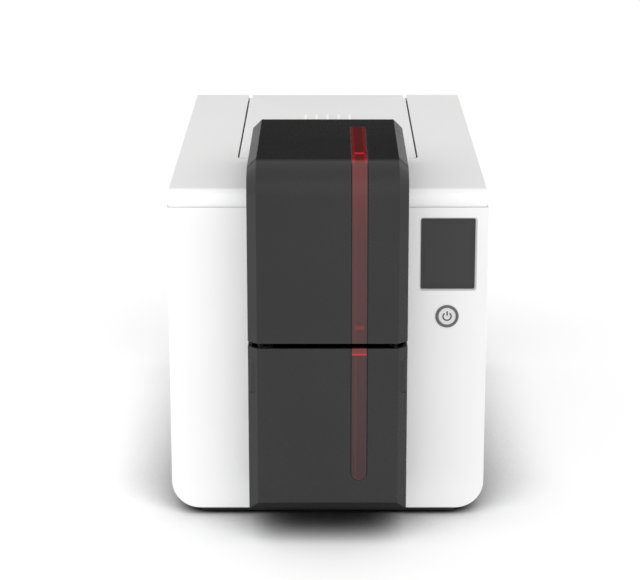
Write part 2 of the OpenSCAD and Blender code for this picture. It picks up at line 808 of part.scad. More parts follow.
// Side view of a frame: main plate, arm under the magazine, door arm, and the raised arm of the hood hinge.
module frame_outline() difference() {
    union() {
        translate([bin_back, body_z]) square([frame_back - bin_back, frame_top - body_z]);
        translate([arm_front, card_z - 20]) square([bin_back + 2 - arm_front, 32]);
        translate([door_axis[0], door_axis[1] - 5]) square([bin_back - door_axis[0] + 1, 10]);
        translate(door_axis) circle(6);
        translate([bin_back, frame_top - 1]) square([14, hood_axis[1] + 4 - frame_top + 1]);
        translate([bin_back, hood_axis[1] - 6]) square([hood_axis[0] - bin_back, 10]);
        translate(hood_axis) circle(6);
    }
    for (axis = [door_axis, hood_axis]) translate(axis) circle(pin_r + run_fit);
    for (y = roller_ys) translate([y, shaft_z]) circle(shaft_r + bush_wall + seat_fit);
    for (at = [cleaner, pinch]) translate(at) circle(upper_shaft_r + bush_wall + seat_fit);
    for (at = [take_up, supply]) {
        translate(at) circle(journal_r + run_fit);
        translate([at[0] - journal_r - run_fit, at[1]]) square([2 * (journal_r + run_fit), frame_top]);
    }
    // punched windows
    for (i = [0:3]) translate([bin_back + 12 + i * 50, 22]) round_window([34, 34]);
}
module round_window(size) round_rect([0, 0], size, 5);

frame_foot = 12;
frame_screw_x = frame_out + frame_foot / 2;
frame_screw_ys = [bin_back + 8, (bin_back + frame_back) / 2, frame_back - 8];

module frame_plate(side) {
    foot = [side * frame_in, side * (frame_out + frame_foot)];
    plate = [side * frame_in, side * frame_out];
    run_x(min(plate), max(plate)) frame_outline();
    difference() {
        block([min(foot), bin_back, body_z], [max(foot), frame_back, body_z + frame_t]);
        for (y = frame_screw_ys)
            bar_z(screw_r + screw_fit, body_z - 1, body_z + frame_t + 1, [side * frame_screw_x, y]);
    }
}

module left_frame() color([0.6, 0.61, 0.63]) frame_plate(-1);

// The right frame also has the motors' shaft holes and the idlers' stud holes.
module right_frame() color([0.6, 0.61, 0.63]) difference() {
    frame_plate(1);
    bar_x(motor_shaft_r + 1.5, 0, tower_w, [long_idler_y, motor_z]);
    bar_x(ribbon_shaft_r + 1, 0, tower_w, [ribbon_motor_y, take_up[1]]);
    for (y = idler_ys) bar_x(stud_r + seat_fit, 0, tower_w, [y, shaft_z]);
}

spacer_places = [[bin_back + 8, 90], [frame_back - 8, 90],
    [frame_back - 5, frame_top - 5], [bin_back + 5, frame_top - 5]];
module frame_spacers() color("silver")
    for (at = spacer_places) bar_x(3, -frame_in, frame_in, at);

module frame_screws() color("silver") both_sides() for (y = frame_screw_ys) {
    bar_z(screw_r, body_z, body_z + frame_t + 0.5, [frame_screw_x, y]);
    bar_z(screw_head_r, body_z + frame_t, body_z + frame_t + 1.6, [frame_screw_x, y]);
}

// Bush with a flange inside the frame.
bush_rim = 1.3;
bush_recess = shaft_r + bush_wall + bush_rim + clear;
module bush(side, bore, at) {
    inner = side * (frame_in - 1);
    outer = side * (frame_out + 0.5);
    difference() {
        union() {
            bar_x(bore + bush_wall, min(inner, outer), max(inner, outer), at);
            bar_x(bore + bush_wall + bush_rim, min(inner, side * frame_in), max(inner, side * frame_in), at);
        }
        bar_x(bore + run_fit, -tower_w, tower_w, at);
    }
}

module shaft_bushes() color([0.8, 0.65, 0.3]) for (side = [-1, 1]) {
    for (y = roller_ys) bush(side, shaft_r, [y, shaft_z]);
    for (at = [cleaner, pinch]) bush(side, upper_shaft_r, at);
}

stud_r = 2;
module idler_studs() color("silver") for (y = idler_ys) {
    bar_x(stud_r, frame_in, gear_x + gear_w + 0.6, [y, shaft_z]);
    bar_x(stud_r + 1.5, gear_x + gear_w + 0.3, gear_x + gear_w + 1.3, [y, shaft_z]);
}

// ---------- Card path ----------

// Track that carries the card from the magazine to past the print head, with windows for the rollers.
module card_track() color([0.3, 0.31, 0.33]) {
    low = card_z - clear - 3.2;
    half = frame_in - run_fit;
    window = sqrt(pow(roller_r, 2) - pow(shaft_z - low, 2)) + 2.5;
    rail = card_end + 1.6;
    plate_top = card_z - clear;
    start = bin_back + 4;
    end = frame_back - 6;
    difference() {
        union() {
            block([-half, start, low], [half, end, plate_top]);
            both_sides() block([card_end, start, low], [rail, end, card_top + 0.5]);
        }
        for (y = [entry_y, feed_y, platen_y]) {
            block([-card_end - 1.2, y - window, low - 1], [card_end + 1.2, y + window, card_z + 3]);
            block([-rail - 1, y - window, plate_top], [rail + 1, y + window, card_z + 3]);
            bar_x(bush_recess, -half - 1, half + 1, [y, shaft_z]);
        }
    }
}

// Open-fronted magazine that holds the blank cards on edge guides, with a gate at its back for one card.
module card_magazine() color([0.16, 0.16, 0.17]) {
    low = card_z - 2.5;
    half = frame_in - run_fit;
    wall_out = card_end + bin_wall;
    gate = card_t * 1.6;
    window = sqrt(pow(roller_r, 2) - pow(shaft_z - low, 2)) + 2;
    difference() {
        union() {
            block([-half, bin_y + 2, low], [half, bin_back + 3, card_z]);
            both_sides() block([card_end, bin_y - 1.5, low], [wall_out, bin_back + bin_wall, card_z + bin_h]);
            both_sides() block([card_end - 6, bin_y - 1.5, low], [wall_out, bin_y, card_z + bin_h]);
            block([-wall_out, bin_back, card_z + gate], [wall_out, bin_back + bin_wall, card_z + bin_h]);
            block([-wall_out, bin_y, low], [wall_out, bin_y + 4, card_z]);
        }
        // finger cut in both sides and the pick roller's window
        run_x(-tower_w, tower_w) round_rect([bin_y + 28, card_z + 18], [bin_y + 62, card_z + bin_h + 20], 8);
        block([-16, pick_y - window, low - 1], [16, pick_y + window, card_z + 1]);
        bar_x(bush_recess, -half - 1, half + 1, [pick_y, shaft_z]);
    }
}

card_corner = 3.18;
module blank_cards() color("white") for (i = [0:card_count - 1])
    run_z(card_z + i * card_t, card_z + (i + 1) * card_t)
        translate([-card_w / 2, bin_y + card_play / 2]) round_rect([0, 0], [card_w, card_l], card_corner);

// Loose weight that presses the stack on the pick roller.
weight_z = card_z + card_count * card_t + clear;
module card_weight() color([0.35, 0.36, 0.38]) {
    half = card_w / 2 - 1;
    near = bin_y + 4;
    rear = bin_back - 4;
    run_z(weight_z, weight_z + 4) round_rect([-half, near], [half, rear], 4);
    block([-7, (near + rear) / 2 - 2, weight_z + 3.5], [7, (near + rear) / 2 + 2, weight_z + 16]);
}

// ---------- Rollers ----------

// Driven shaft from the left bush to the gear, with a rubber sleeve.
module driven_roller(y, sleeve_half) {
    bar_x(shaft_r, -frame_out - 0.4, gear_x + gear_w + 0.5, [y, shaft_z]);
    bar_x(roller_r, -sleeve_half, sleeve_half, [y, shaft_z]);
}
module pick_roller() color([0.25, 0.25, 0.26]) driven_roller(pick_y, 14);
module entry_roller() color([0.25, 0.25, 0.26]) driven_roller(entry_y, card_w / 2);
module feed_roller() color([0.25, 0.25, 0.26]) driven_roller(feed_y, card_w / 2);
module platen_roller() color([0.15, 0.15, 0.16]) driven_roller(platen_y, card_w / 2);

module upper_roller(at, r) {
    bar_x(upper_shaft_r, -frame_out - 0.4, frame_out + 0.4, at);
    bar_x(r, 1 - card_w / 2, card_w / 2 - 1, at);
}
module cleaning_roller() color([0.3, 0.55, 0.75]) upper_roller(cleaner, cleaner_r);
module pinch_roller() color([0.4, 0.4, 0.42]) upper_roller(pinch, pinch_r);

// ---------- Gears ----------

pressure = 20;
addendum = 0.8;
dedendum = 1.15;
backlash = 0.3;

// Half the angle that a tooth fills at a radius, from the involute of the base circle.
function involute(a) = tan(a) * 180 / PI - a;
function tooth_half(teeth, r) =
    let (pitch_r = gear_m * teeth / 2,
        base_r = pitch_r * cos(pressure),
        at_r = max(r, base_r + 0.001))
    (PI * gear_m / 2 - backlash) / 2 / pitch_r * 180 / PI
        + involute(pressure) - involute(acos(base_r / at_r));

// Toothed outline, its first tooth at the given phase.
module gear_outline(teeth, phase) {
    pitch_r = gear_m * teeth / 2;
    root_r = pitch_r - dedendum * gear_m;
    tip_r = pitch_r + addendum * gear_m;
    base_r = max(root_r + 0.1, pitch_r * cos(pressure));
    flank = [root_r, base_r, (base_r + tip_r) / 2, tip_r];
    polygon([for (tooth = [0:teeth - 1], k = [0:7])
        let (rising = k < 4,
            r = flank[rising ? k : 7 - k],
            a = phase + tooth * 360 / teeth + (rising ? -1 : 1) * tooth_half(teeth, r))
        r * [cos(a), sin(a)]]);
}

// Spur gear along X with a thinner web between hub and rim.
module spur(teeth, phase, at, bore) {
    rim = gear_m * teeth / 2 - dedendum * gear_m - 2;
    difference() {
        translate([0, at[0], at[1]]) run_x(gear_x, gear_x + gear_w) gear_outline(teeth, phase);
        bar_x(bore, gear_x - 1, gear_x + gear_w + 1, at);
        if (rim > bore + 4) difference() {
            bar_x(rim, gear_x + gear_w - 1.2, gear_x + gear_w + 1, at);
            bar_x(bore + 2.2, gear_x, gear_x + gear_w + 2, at);
        }
    }
}

// Phases run along the train from the platen to the pick roller; 180 looks towards the front.
platen_phase = 0;
head_idler_phase = mesh_phase(platen_phase, roller_teeth, head_idler_teeth, 180);
feed_phase = mesh_phase(head_idler_phase, head_idler_teeth, roller_teeth, 180);
long_idler_phase = mesh_phase(feed_phase, roller_teeth, long_idler_teeth, 180);
entry_phase = mesh_phase(long_idler_phase, long_idler_teeth, roller_teeth, 180);
pick_idler_phase = mesh_phase(entry_phase, roller_teeth, pick_idler_teeth, 180);
pick_phase = mesh_phase(pick_idler_phase, pick_idler_teeth, roller_teeth, 180);
pinion_phase = mesh_phase(long_idler_phase, long_idler_teeth, pinion_teeth, -90);
ribbon_pinion_phase = mesh_phase(0, take_up_teeth, pinion_teeth, 180);

module platen_gear() color("ivory") spur(roller_teeth, platen_phase, [platen_y, shaft_z], shaft_r + seat_fit);
module feed_gear() color("ivory") spur(roller_teeth, feed_phase, [feed_y, shaft_z], shaft_r + seat_fit);
module entry_gear() color("ivory") spur(roller_teeth, entry_phase, [entry_y, shaft_z], shaft_r + seat_fit);
module pick_gear() color("ivory") spur(roller_teeth, pick_phase, [pick_y, shaft_z], shaft_r + seat_fit);
module head_idler_gear() color("ivory")
    spur(head_idler_teeth, head_idler_phase, [head_idler_y, shaft_z], stud_r + run_fit);
module long_idler_gear() color("ivory")
    spur(long_idler_teeth, long_idler_phase, [long_idler_y, shaft_z], stud_r + run_fit);
module pick_idler_gear() color("ivory")
    spur(pick_idler_teeth, pick_idler_phase, [pick_idler_y, shaft_z], stud_r + run_fit);

// ---------- Motors ----------

module transport_motor() color([0.3, 0.3, 0.32]) difference() {
    union() {
        bar_x(motor_r, frame_in - motor_l, frame_in, [long_idler_y, motor_z]);
        bar_x(motor_shaft_r + 1.4, frame_in - 1, frame_out, [long_idler_y, motor_z]);
    }
    bar_x(motor_shaft_r + run_fit, frame_in - 12, frame_out + 1, [long_idler_y, motor_z]);
}

// Pinion and the motor shaft it is cut on, one piece of steel.
module motor_pinion() color([0.8, 0.8, 0.82]) {
    spur(pinion_teeth, pinion_phase, [long_idler_y, motor_z], motor_shaft_r - 0.5);
    bar_x(motor_shaft_r, frame_in - 11, gear_x + gear_w + 0.5, [long_idler_y, motor_z]);
}

module ribbon_motor() color([0.3, 0.3, 0.32]) difference() {
    bar_x(ribbon_motor_r, frame_in - ribbon_motor_l, frame_in, [ribbon_motor_y, take_up[1]]);
    bar_x(ribbon_shaft_r + run_fit, frame_in - ribbon_motor_l + 2, frame_in + 1,
        [ribbon_motor_y, take_up[1]]);
}

module ribbon_pinion() color([0.8, 0.8, 0.82]) {
    spur(pinion_teeth, ribbon_pinion_phase, [ribbon_motor_y, take_up[1]], ribbon_shaft_r - 0.5);
    bar_x(ribbon_shaft_r, frame_in - ribbon_motor_l + 3, gear_x + gear_w + 0.5, [ribbon_motor_y, take_up[1]]);
}

// ---------- Ribbon ----------

// Spool with two flanges and journals that rest in the frames' open slots.
module spool(at, flange_r, core_r, left_end, right_end) {
    flange_x = ribbon_w / 2 + 0.4;
    bar_x(journal_r, left_end, right_end, at);
    bar_x(core_r, -flange_x - 1.5, flange_x + 1.5, at);
    both_sides() bar_x(flange_r, flange_x, flange_x + 1.5, at);
}
core_r = 6;
module supply_spool() color([0.9, 0.9, 0.85])
    spool(supply, supply_flange_r, core_r, -frame_out - 1, frame_out + 1);
module take_up_spool() color([0.9, 0.9, 0.85])
    spool(take_up, take_up_flange_r, core_r, -frame_out - 1, gear_x + gear_w + 0.5);
module wound_ribbon(at, r) difference() {
    bar_x(r, -ribbon_w / 2, ribbon_w / 2, at);
    bar_x(core_r + seat_fit, -ribbon_w, ribbon_w, at);
}
module supply_ribbon() color([0.15, 0.1, 0.3]) wound_ribbon(supply, supply_r);
module take_up_ribbon() color([0.15, 0.1, 0.3]) wound_ribbon(take_up, take_up_r);
module take_up_gear() color("ivory") spur(take_up_teeth, 0, take_up, journal_r + seat_fit);

// Point where a line from a given point touches a circle, on the left (1) or right (-1) of its centre.
function touch_point(from, centre, r, side) =
    let (way = centre - from, angle = atan2(way[1], way[0]) + side * asin(r / norm(way)))
    from + sqrt(pow(norm(way), 2) - pow(r, 2)) * [cos(angle), sin(angle)];

// Film from the supply roll, flat under the print head and up to the take-up roll.
module ribbon_film() color([0.15, 0.1, 0.3, 0.8]) {
    under_head = 8;
    low_a = [platen_y - under_head, film_z];
    low_b = [platen_y + under_head, film_z];
    up_a = touch_point(low_a, take_up, take_up_r + clear, -1);
    up_b = touch_point(low_b, supply, supply_r + clear, 1);
    rise = [0, film_t];
    run_x(-ribbon_w / 2, ribbon_w / 2)
        polygon([up_a, low_a, low_b, up_b, up_b + rise, low_b + rise, low_a + rise, up_a + rise]);
}

// ---------- Electronics ----------

board_y = frame_back - 90;
board_zs = [20, 126];
module mainboard() color([0.1, 0.35, 0.2]) {
    block([board_x, board_y, board_zs[0]], [board_x + board_t, panel_front - 2, board_zs[1]]);
    // standoffs to the left frame
    for (y = [board_y + 8, frame_back - 8], z = [board_zs[0] + 55, board_zs[1] - 8])
        bar_x(3, board_x + board_t, -frame_out, [y, z]);
    // sockets with their open mouths
    for (i = [0:2]) difference() {
        run_y(panel_back - socket_l, panel_back + 0.3) socket_outline(i, 0);
        run_y(panel_back - socket_l + 4, panel_back + 1) socket_outline(i, -1);
    }
    // capacitors and a heat sink
    for (i = [0:2]) bar_x(5, board_x - 14, board_x, [board_y + 16 + i * 13, board_zs[0] + 14]);
    block([board_x - 9, board_y + 60, board_zs[0] + 40], [board_x, board_y + 88, board_zs[0] + 66]);
}

base_plate();
rubber_feet();
left_side_cover();
right_side_cover();
rear_panel();
top_cover();
left_frame();
right_frame();
frame_spacers();
frame_screws();
cover_screws();
shaft_bushes();
idler_studs();
card_track();
card_magazine();
blank_cards();
card_weight();
top_lid();
lid_grip();
lid_hinge_pins();
head_bracket();
print_head();
feeder_hood();
feeder_window();
hood_hinge_pins();
output_door();
output_window();
output_tray();
door_hinge_pins();
display_window();
display_frame();
display_module();
power_button();
button_ring();
button_spring();
switch_board();
pick_roller();
pick_gear();
entry_roller();
entry_gear();
feed_roller();
feed_gear();
platen_roller();
platen_gear();
pick_idler_gear();
long_idler_gear();
head_idler_gear();
cleaning_roller();
pinch_roller();
transport_motor();
motor_pinion();
supply_spool();
supply_ribbon();
take_up_spool();
take_up_ribbon();
take_up_gear();
ribbon_film();
ribbon_motor();
ribbon_pinion();
mainboard();
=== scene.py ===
"""Looks of a desktop id card printer: white moulded covers, black feeder tower, red windows, geared card transport."""

import math

import bmesh
import bpy
import numpy as np
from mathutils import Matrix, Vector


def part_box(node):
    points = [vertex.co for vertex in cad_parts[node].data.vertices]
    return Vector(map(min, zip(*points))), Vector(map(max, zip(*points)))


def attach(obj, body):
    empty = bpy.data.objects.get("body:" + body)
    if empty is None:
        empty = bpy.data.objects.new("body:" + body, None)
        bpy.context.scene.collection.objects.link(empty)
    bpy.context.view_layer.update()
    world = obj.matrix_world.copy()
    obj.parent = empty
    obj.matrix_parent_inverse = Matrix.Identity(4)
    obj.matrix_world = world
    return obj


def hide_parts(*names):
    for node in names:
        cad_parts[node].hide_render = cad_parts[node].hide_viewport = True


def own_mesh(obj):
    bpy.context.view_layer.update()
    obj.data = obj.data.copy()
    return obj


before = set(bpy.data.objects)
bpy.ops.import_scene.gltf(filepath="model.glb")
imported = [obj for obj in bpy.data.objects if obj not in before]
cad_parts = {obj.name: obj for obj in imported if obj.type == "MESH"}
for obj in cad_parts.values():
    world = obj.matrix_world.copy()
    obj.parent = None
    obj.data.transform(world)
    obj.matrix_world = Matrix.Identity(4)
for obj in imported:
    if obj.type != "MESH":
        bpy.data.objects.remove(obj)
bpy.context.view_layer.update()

# ---------- Table, lamps and camera ----------
# The printer stands on a white table that runs out of sight, in a pale room that is brightest in front of it,
# under a soft distant key light from the front and a panel lamp low on the left. The room behind is dark to gloss
# and white to the eye.

def surface(name, points, close_v=False, weld=False):
    """Mesh of grids of points, any copies first: point (i, j) joins its next neighbours both ways, and the second
    way may wrap round. Weld merges the points at poles and turns the faces outwards."""
    index = np.arange(points[..., 0].size).reshape(points.shape[:-1])
    here = index if close_v else index[..., :-1]
    beside = np.roll(index, -1, axis=-1) if close_v else index[..., 1:]
    quads = np.stack([here[..., :-1, :], here[..., 1:, :], beside[..., 1:, :], beside[..., :-1, :]], axis=-1)
    mesh = bpy.data.meshes.new(name)
    mesh.from_pydata(points.reshape(-1, 3), [], quads.reshape(-1, 4))
    mesh.update()
    if weld:
        shape = bmesh.new()
        shape.from_mesh(mesh)
        bmesh.ops.remove_doubles(shape, verts=shape.verts, dist=1e-6)
        bmesh.ops.recalc_face_normals(shape, faces=shape.faces)
        shape.to_mesh(mesh)
        shape.free()
    piece = bpy.data.objects.new(name, mesh)
    bpy.context.scene.collection.objects.link(piece)
    return piece


def feed(tree, socket, value):
    """Gives a socket its value: a number, a colour of three numbers, or another socket, which is linked."""
    if isinstance(value, (int, float)):
        socket.default_value = value
    elif isinstance(value, tuple):
        socket.default_value = (*value, 1)
    else:
        tree.links.new(value, socket)


def spread(tree, value, low, high, start=0.0, end=1.0, smooth=False):
    """Map Range node: carries a value from start..end to low..high, in a straight line or (smooth) an eased one."""
    node = tree.nodes.new("ShaderNodeMapRange")
    node.interpolation_type = "SMOOTHSTEP" if smooth else "LINEAR"
    for socket, limit in (("Value", value), ("From Min", start), ("From Max", end), ("To Min", low), ("To Max", high)):
        feed(tree, node.inputs[socket], limit)
    return node.outputs["Result"]


def two_tone(tree, mask, plain, marked):
    """Mixes two colours by a mask."""
    node = tree.nodes.new("ShaderNodeMix")
    node.data_type = "RGBA"
    for socket, value in (("Factor", mask), ("A", plain), ("B", marked)):
        feed(tree, node.inputs[socket], value)
    return node.outputs["Result"]


def maths(tree, operation, *values, clamp=False):
    """Math node of one operation on its values."""
    node = tree.nodes.new("ShaderNodeMath")
    node.operation = operation
    node.use_clamp = clamp
    for socket, value in zip(node.inputs, values):
        feed(tree, socket, value)
    return node.outputs[0]


def object_place(tree):
    """Object coordinates, which for a piece of the printer are metres in its frame."""
    return tree.nodes.new("ShaderNodeTexCoord").outputs["Object"]


def axes_of(tree, vector):
    """X, Y and Z of a vector."""
    node = tree.nodes.new("ShaderNodeSeparateXYZ")
    tree.links.new(vector, node.inputs[0])
    return node.outputs


table_reach = 9.0
table_white = 0.72
table_seen_white = 0.99
u, v = np.meshgrid(np.linspace(-1, 1, 3), np.linspace(-1, 1, 3), indexing="ij")
table = surface("table_top", np.stack([u * table_reach, v * table_reach, 0 * u], axis=-1))
table_paint = bpy.data.materials.new("table_white")
table_paint.use_nodes = True
tree = table_paint.node_tree
tree.nodes.clear()
ray = tree.nodes.new("ShaderNodeLightPath")
white = two_tone(tree, ray.outputs["Is Camera Ray"], (table_white,) * 3, (table_seen_white,) * 3)

# Contact shade: how closed in a spot is, felt over a short reach along a direction that leans forward. It is
# deepest in front of the printer and fainter towards the back.
shade_reach = 0.085
shade_lean = math.radians(45)
shade_full, shade_none = 0.42, 0.88
shade_front, shade_rear = -0.12, 0.12
shade_front_level, shade_rear_level = 0.02, 0.50
shade = tree.nodes.new("ShaderNodeAmbientOcclusion")
shade.samples = 12
shade.inputs["Distance"].default_value = shade_reach
lean = tree.nodes.new("ShaderNodeCombineXYZ")
lean.inputs["Y"].default_value = -math.sin(shade_lean)
lean.inputs["Z"].default_value = math.cos(shade_lean)
tree.links.new(lean.outputs["Vector"], shade.inputs["Normal"])
darkest = spread(tree, axes_of(tree, object_place(tree))["Y"], shade_front_level, shade_rear_level,
    shade_front, shade_rear)
light_left = spread(tree, shade.outputs["AO"], darkest, 1.0, shade_full, shade_none)
matt = tree.nodes.new("ShaderNodeBsdfDiffuse")
tree.links.new(two_tone(tree, light_left, (0.0, 0.0, 0.0), white), matt.inputs["Color"])
out = tree.nodes.new("ShaderNodeOutputMaterial")
tree.links.new(matt.outputs[0], out.inputs["Surface"])
table.data.materials.append(table_paint)

# Levels of the room by direction: each pair of limits is where one level starts to turn into the next.
room_front, room_rear, room_front_to_rear = 1.35, 0.70, (-0.7, 0.7)
room_high, room_overhead = 0.85, (0.65, 0.9)
room_sides, room_beside = 0.84, (0.3, 0.62)
room_horizon, room_back, room_rise = 0.35, 0.03, (0.03, 0.10)
room_behind = (-0.1, 0.35)
room_top, gloss_overhead = 0.72, (0.60, 0.84)
room = bpy.data.worlds.new("studio")
bpy.context.scene.world = room
room.use_nodes = True
tree = room.node_tree
tree.nodes.clear()
across, depth, height = axes_of(tree, tree.nodes.new("ShaderNodeTexCoord").outputs["Generated"])
front_bias = spread(tree, depth, room_front, room_rear, *room_front_to_rear, smooth=True)
soft_sky = spread(tree, height, front_bias, room_high, *room_overhead, smooth=True)
dark_back = spread(tree, height, room_horizon, room_back, *room_rise, smooth=True)
dark_middle = spread(tree, maths(tree, "ABSOLUTE", across), dark_back, room_sides, *room_beside, smooth=True)
behind = spread(tree, depth, room_sides, dark_middle, *room_behind, smooth=True)
gloss_room = spread(tree, height, behind, room_top, *gloss_overhead, smooth=True)
ray = tree.nodes.new("ShaderNodeLightPath")
room_level = spread(tree, ray.outputs["Is Glossy Ray"], soft_sky, gloss_room)
sky = tree.nodes.new("ShaderNodeBackground")
sky.inputs["Color"].default_value = (1, 1, 1, 1)
tree.links.new(spread(tree, ray.outputs["Is Camera Ray"], room_level, 1.0), sky.inputs["Strength"])
out = tree.nodes.new("ShaderNodeOutputWorld")
tree.links.new(sky.outputs[0], out.inputs["Surface"])


def lamp(name, place, target, size, power):
    """Lamp at a place, turned so that its own -Z points at the target: a square panel of a given size in metres,
    or with no size a distant soft light 50 degrees wide."""
    light = bpy.data.lights.new(name, "AREA" if size else "SUN")
    if size:
        light.size = size
    else:
        light.angle = math.radians(50)
    light.energy = power
    holder = bpy.data.objects.new(name, light)
    holder.location = place
    holder.visible_glossy = False
    way = np.array(target) - np.array(place)
    holder.rotation_euler = (math.acos(-way[2] / np.linalg.norm(way)), 0, math.atan2(-way[0], way[1]))
    bpy.context.scene.collection.objects.link(holder)


lamp("key_light", (0.30, -2.52, 1.59), (0, 0, 0), 0, 0.65)
lamp("side_panel", (-1.5, -0.75, 0.35), (-0.1, -0.14, 0.12), 0.7, 7.0)

camera_back = 1.4795
camera_height = 0.534
look_down = math.radians(15.807)
view = bpy.data.cameras.new("camera")
view.lens = 122.0
view.sensor_width = 36
view.shift_x = -0.0120
camera = bpy.data.objects.new("camera", view)
camera.location = (0, -camera_back, camera_height)
camera.rotation_euler = (math.pi / 2 - look_down, 0, 0)
bpy.context.scene.collection.objects.link(camera)
bpy.context.scene.camera = camera
bpy.context.scene.view_settings.view_transform = "Standard"

# ---------- White covers ----------
# Two side covers, the top cover and the lid are injection moulded in white ABS with a fine satin grain.
# The mould leaves a small round on every edge; the covers screw to the base and the rear panel.

def group_of(name, inputs, outputs):
    """Empty shader node group with float inputs (name, value) and float outputs."""
    group = bpy.data.node_groups.new(name, "ShaderNodeTree")
    for title, value in inputs:
        socket = group.interface.new_socket(title, in_out="INPUT", socket_type="NodeSocketFloat")
        socket.default_value = value
    for title in outputs:
        group.interface.new_socket(title, in_out="OUTPUT", socket_type="NodeSocketFloat")
    return group, group.nodes.new("NodeGroupInput"), group.nodes.new("NodeGroupOutput")


def noise(tree, vector, scale, detail=2.0, roughness=0.5):
    """Noise texture at a scale per metre; returns its value."""
    node = tree.nodes.new("ShaderNodeTexNoise")
    for socket, value in (("Vector", vector), ("Scale", scale), ("Detail", detail), ("Roughness", roughness)):
        feed(tree, node.inputs[socket], value)
    return node.outputs["Fac"]


# Grain of a spark-eroded mould: fine noise for height, fine and broad noise for gloss, broad noise for tone.
grain_group, entry, result = group_of("moulded grain",
    [("Grain", 2600.0), ("Gloss low", 0.35), ("Gloss high", 0.5)], ["Height", "Roughness", "Tone"])
place = object_place(grain_group)
fine = noise(grain_group, place, entry.outputs["Grain"], 3.0, 0.6)
broad = noise(grain_group, place, 14.0, 3.0)
blend = maths(grain_group, "MULTIPLY_ADD", fine, 0.6, maths(grain_group, "MULTIPLY", broad, 0.4))
grain_group.links.new(fine, result.inputs["Height"])
grain_group.links.new(spread(grain_group, blend, entry.outputs["Gloss low"], entry.outputs["Gloss high"], 0.3, 0.7),
    result.inputs["Roughness"])
grain_group.links.new(broad, result.inputs["Tone"])

# Rubbed edges and painted edge highlight: where a rounded normal leaves the true one, broken up by noise.
wear_highlight_group, entry, result = group_of("rubbed edges", [("Reach", 0.0006), ("Strength", 1.0)], ["Mask"])
rounded = wear_highlight_group.nodes.new("ShaderNodeBevel")
rounded.samples = 6
wear_highlight_group.links.new(entry.outputs["Reach"], rounded.inputs["Radius"])
flat = wear_highlight_group.nodes.new("ShaderNodeNewGeometry")
lean = wear_highlight_group.nodes.new("ShaderNodeVectorMath")
lean.operation = "DOT_PRODUCT"
wear_highlight_group.links.new(rounded.outputs["Normal"], lean.inputs[0])
wear_highlight_group.links.new(flat.outputs["Normal"], lean.inputs[1])
edge = spread(wear_highlight_group, lean.outputs["Value"], 1.0, 0.0, 0.80, 0.995)
patchy = spread(wear_highlight_group, noise(wear_highlight_group, object_place(wear_highlight_group), 90.0, 4.0), 0.25, 1.0, 0.35, 0.6)
scuff_and_highlight = maths(wear_highlight_group, "MULTIPLY", edge, patchy)
wear_highlight_group.links.new(maths(wear_highlight_group, "MULTIPLY", scuff_and_highlight, entry.outputs["Strength"], clamp=True), result.inputs["Mask"])

# Painted shade in gaps: how closed in a spot is by what stands within reach, as between two covers.
gap_shade_group, entry, result = group_of("grime in gaps", [("Reach", 0.004)], ["Mask"])
closed_in = gap_shade_group.nodes.new("ShaderNodeAmbientOcclusion")
closed_in.samples = 6
gap_shade_group.links.new(entry.outputs["Reach"], closed_in.inputs["Distance"])
gap_shade_group.links.new(spread(gap_shade_group, closed_in.outputs["AO"], 1.0, 0.0, 0.12, 0.34), result.inputs["Mask"])


def use_group(tree, group, **values):
    """Places a node group in a material with its own values."""
    node = tree.nodes.new("ShaderNodeGroup")
    node.node_tree = group
    for title, value in values.items():
        node.inputs[title.replace("_", " ")].default_value = value
    return node


def new_finish(name):
    """Material with a Principled shader: returns the material, its node tree and the shader."""
    finish = bpy.data.materials.new(name)
    finish.use_nodes = True
    tree = finish.node_tree
    return finish, tree, tree.nodes["Principled BSDF"]


def add_bump(tree, shader, height, strength, distance):
    """Feeds a height to the shader's normal; distance in metres."""
    bump = tree.nodes.new("ShaderNodeBump")
    bump.inputs["Strength"].default_value = strength
    bump.inputs["Distance"].default_value = distance
    tree.links.new(height, bump.inputs["Height"])
    tree.links.new(bump.outputs["Normal"], shader.inputs["Normal"])


wear_highlight_reach = 0.0005


def moulded_plastic(name, colour, aged, gloss, grain=2600.0, depth=0.00001, specular=0.5, rubbed_and_lit=None, painted_shade=None):
    """Moulded plastic: grain for height and gloss, a broad drift of tone and, where given, paler edges, as a colour
    and a strength, for scuffs and painted highlight, and a colour of painted shade deep in the gaps."""
    finish, tree, shader = new_finish(name)
    texture = use_group(tree, grain_group, Grain=grain, Gloss_low=gloss[0], Gloss_high=gloss[1])
    tint = two_tone(tree, spread(tree, texture.outputs["Tone"], 0.0, 1.0, 0.35, 0.65), colour, aged)
    if rubbed_and_lit:
        edge_paling = use_group(tree, wear_highlight_group, Reach=wear_highlight_reach, Strength=rubbed_and_lit[1])
        tint = two_tone(tree, edge_paling.outputs["Mask"], tint, rubbed_and_lit[0])
    if painted_shade:
        tint = two_tone(tree, use_group(tree, gap_shade_group).outputs["Mask"], tint, painted_shade)
    tree.links.new(tint, shader.inputs["Base Color"])
    tree.links.new(texture.outputs["Roughness"], shader.inputs["Roughness"])
    shader.inputs["Specular IOR Level"].default_value = specular
    add_bump(tree, shader, texture.outputs["Height"], 0.25, depth)
    return finish


def fit(piece, finish, body, slot, *nodes):
    """Gives a piece its finish, puts it on a body and hides the nodes it stands for. The slot is not used."""
    piece.data.materials.append(finish)
    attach(piece, body)
    if nodes:
        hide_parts(*nodes)


sharp_from = math.radians(28)
flat_within = math.radians(0.6)


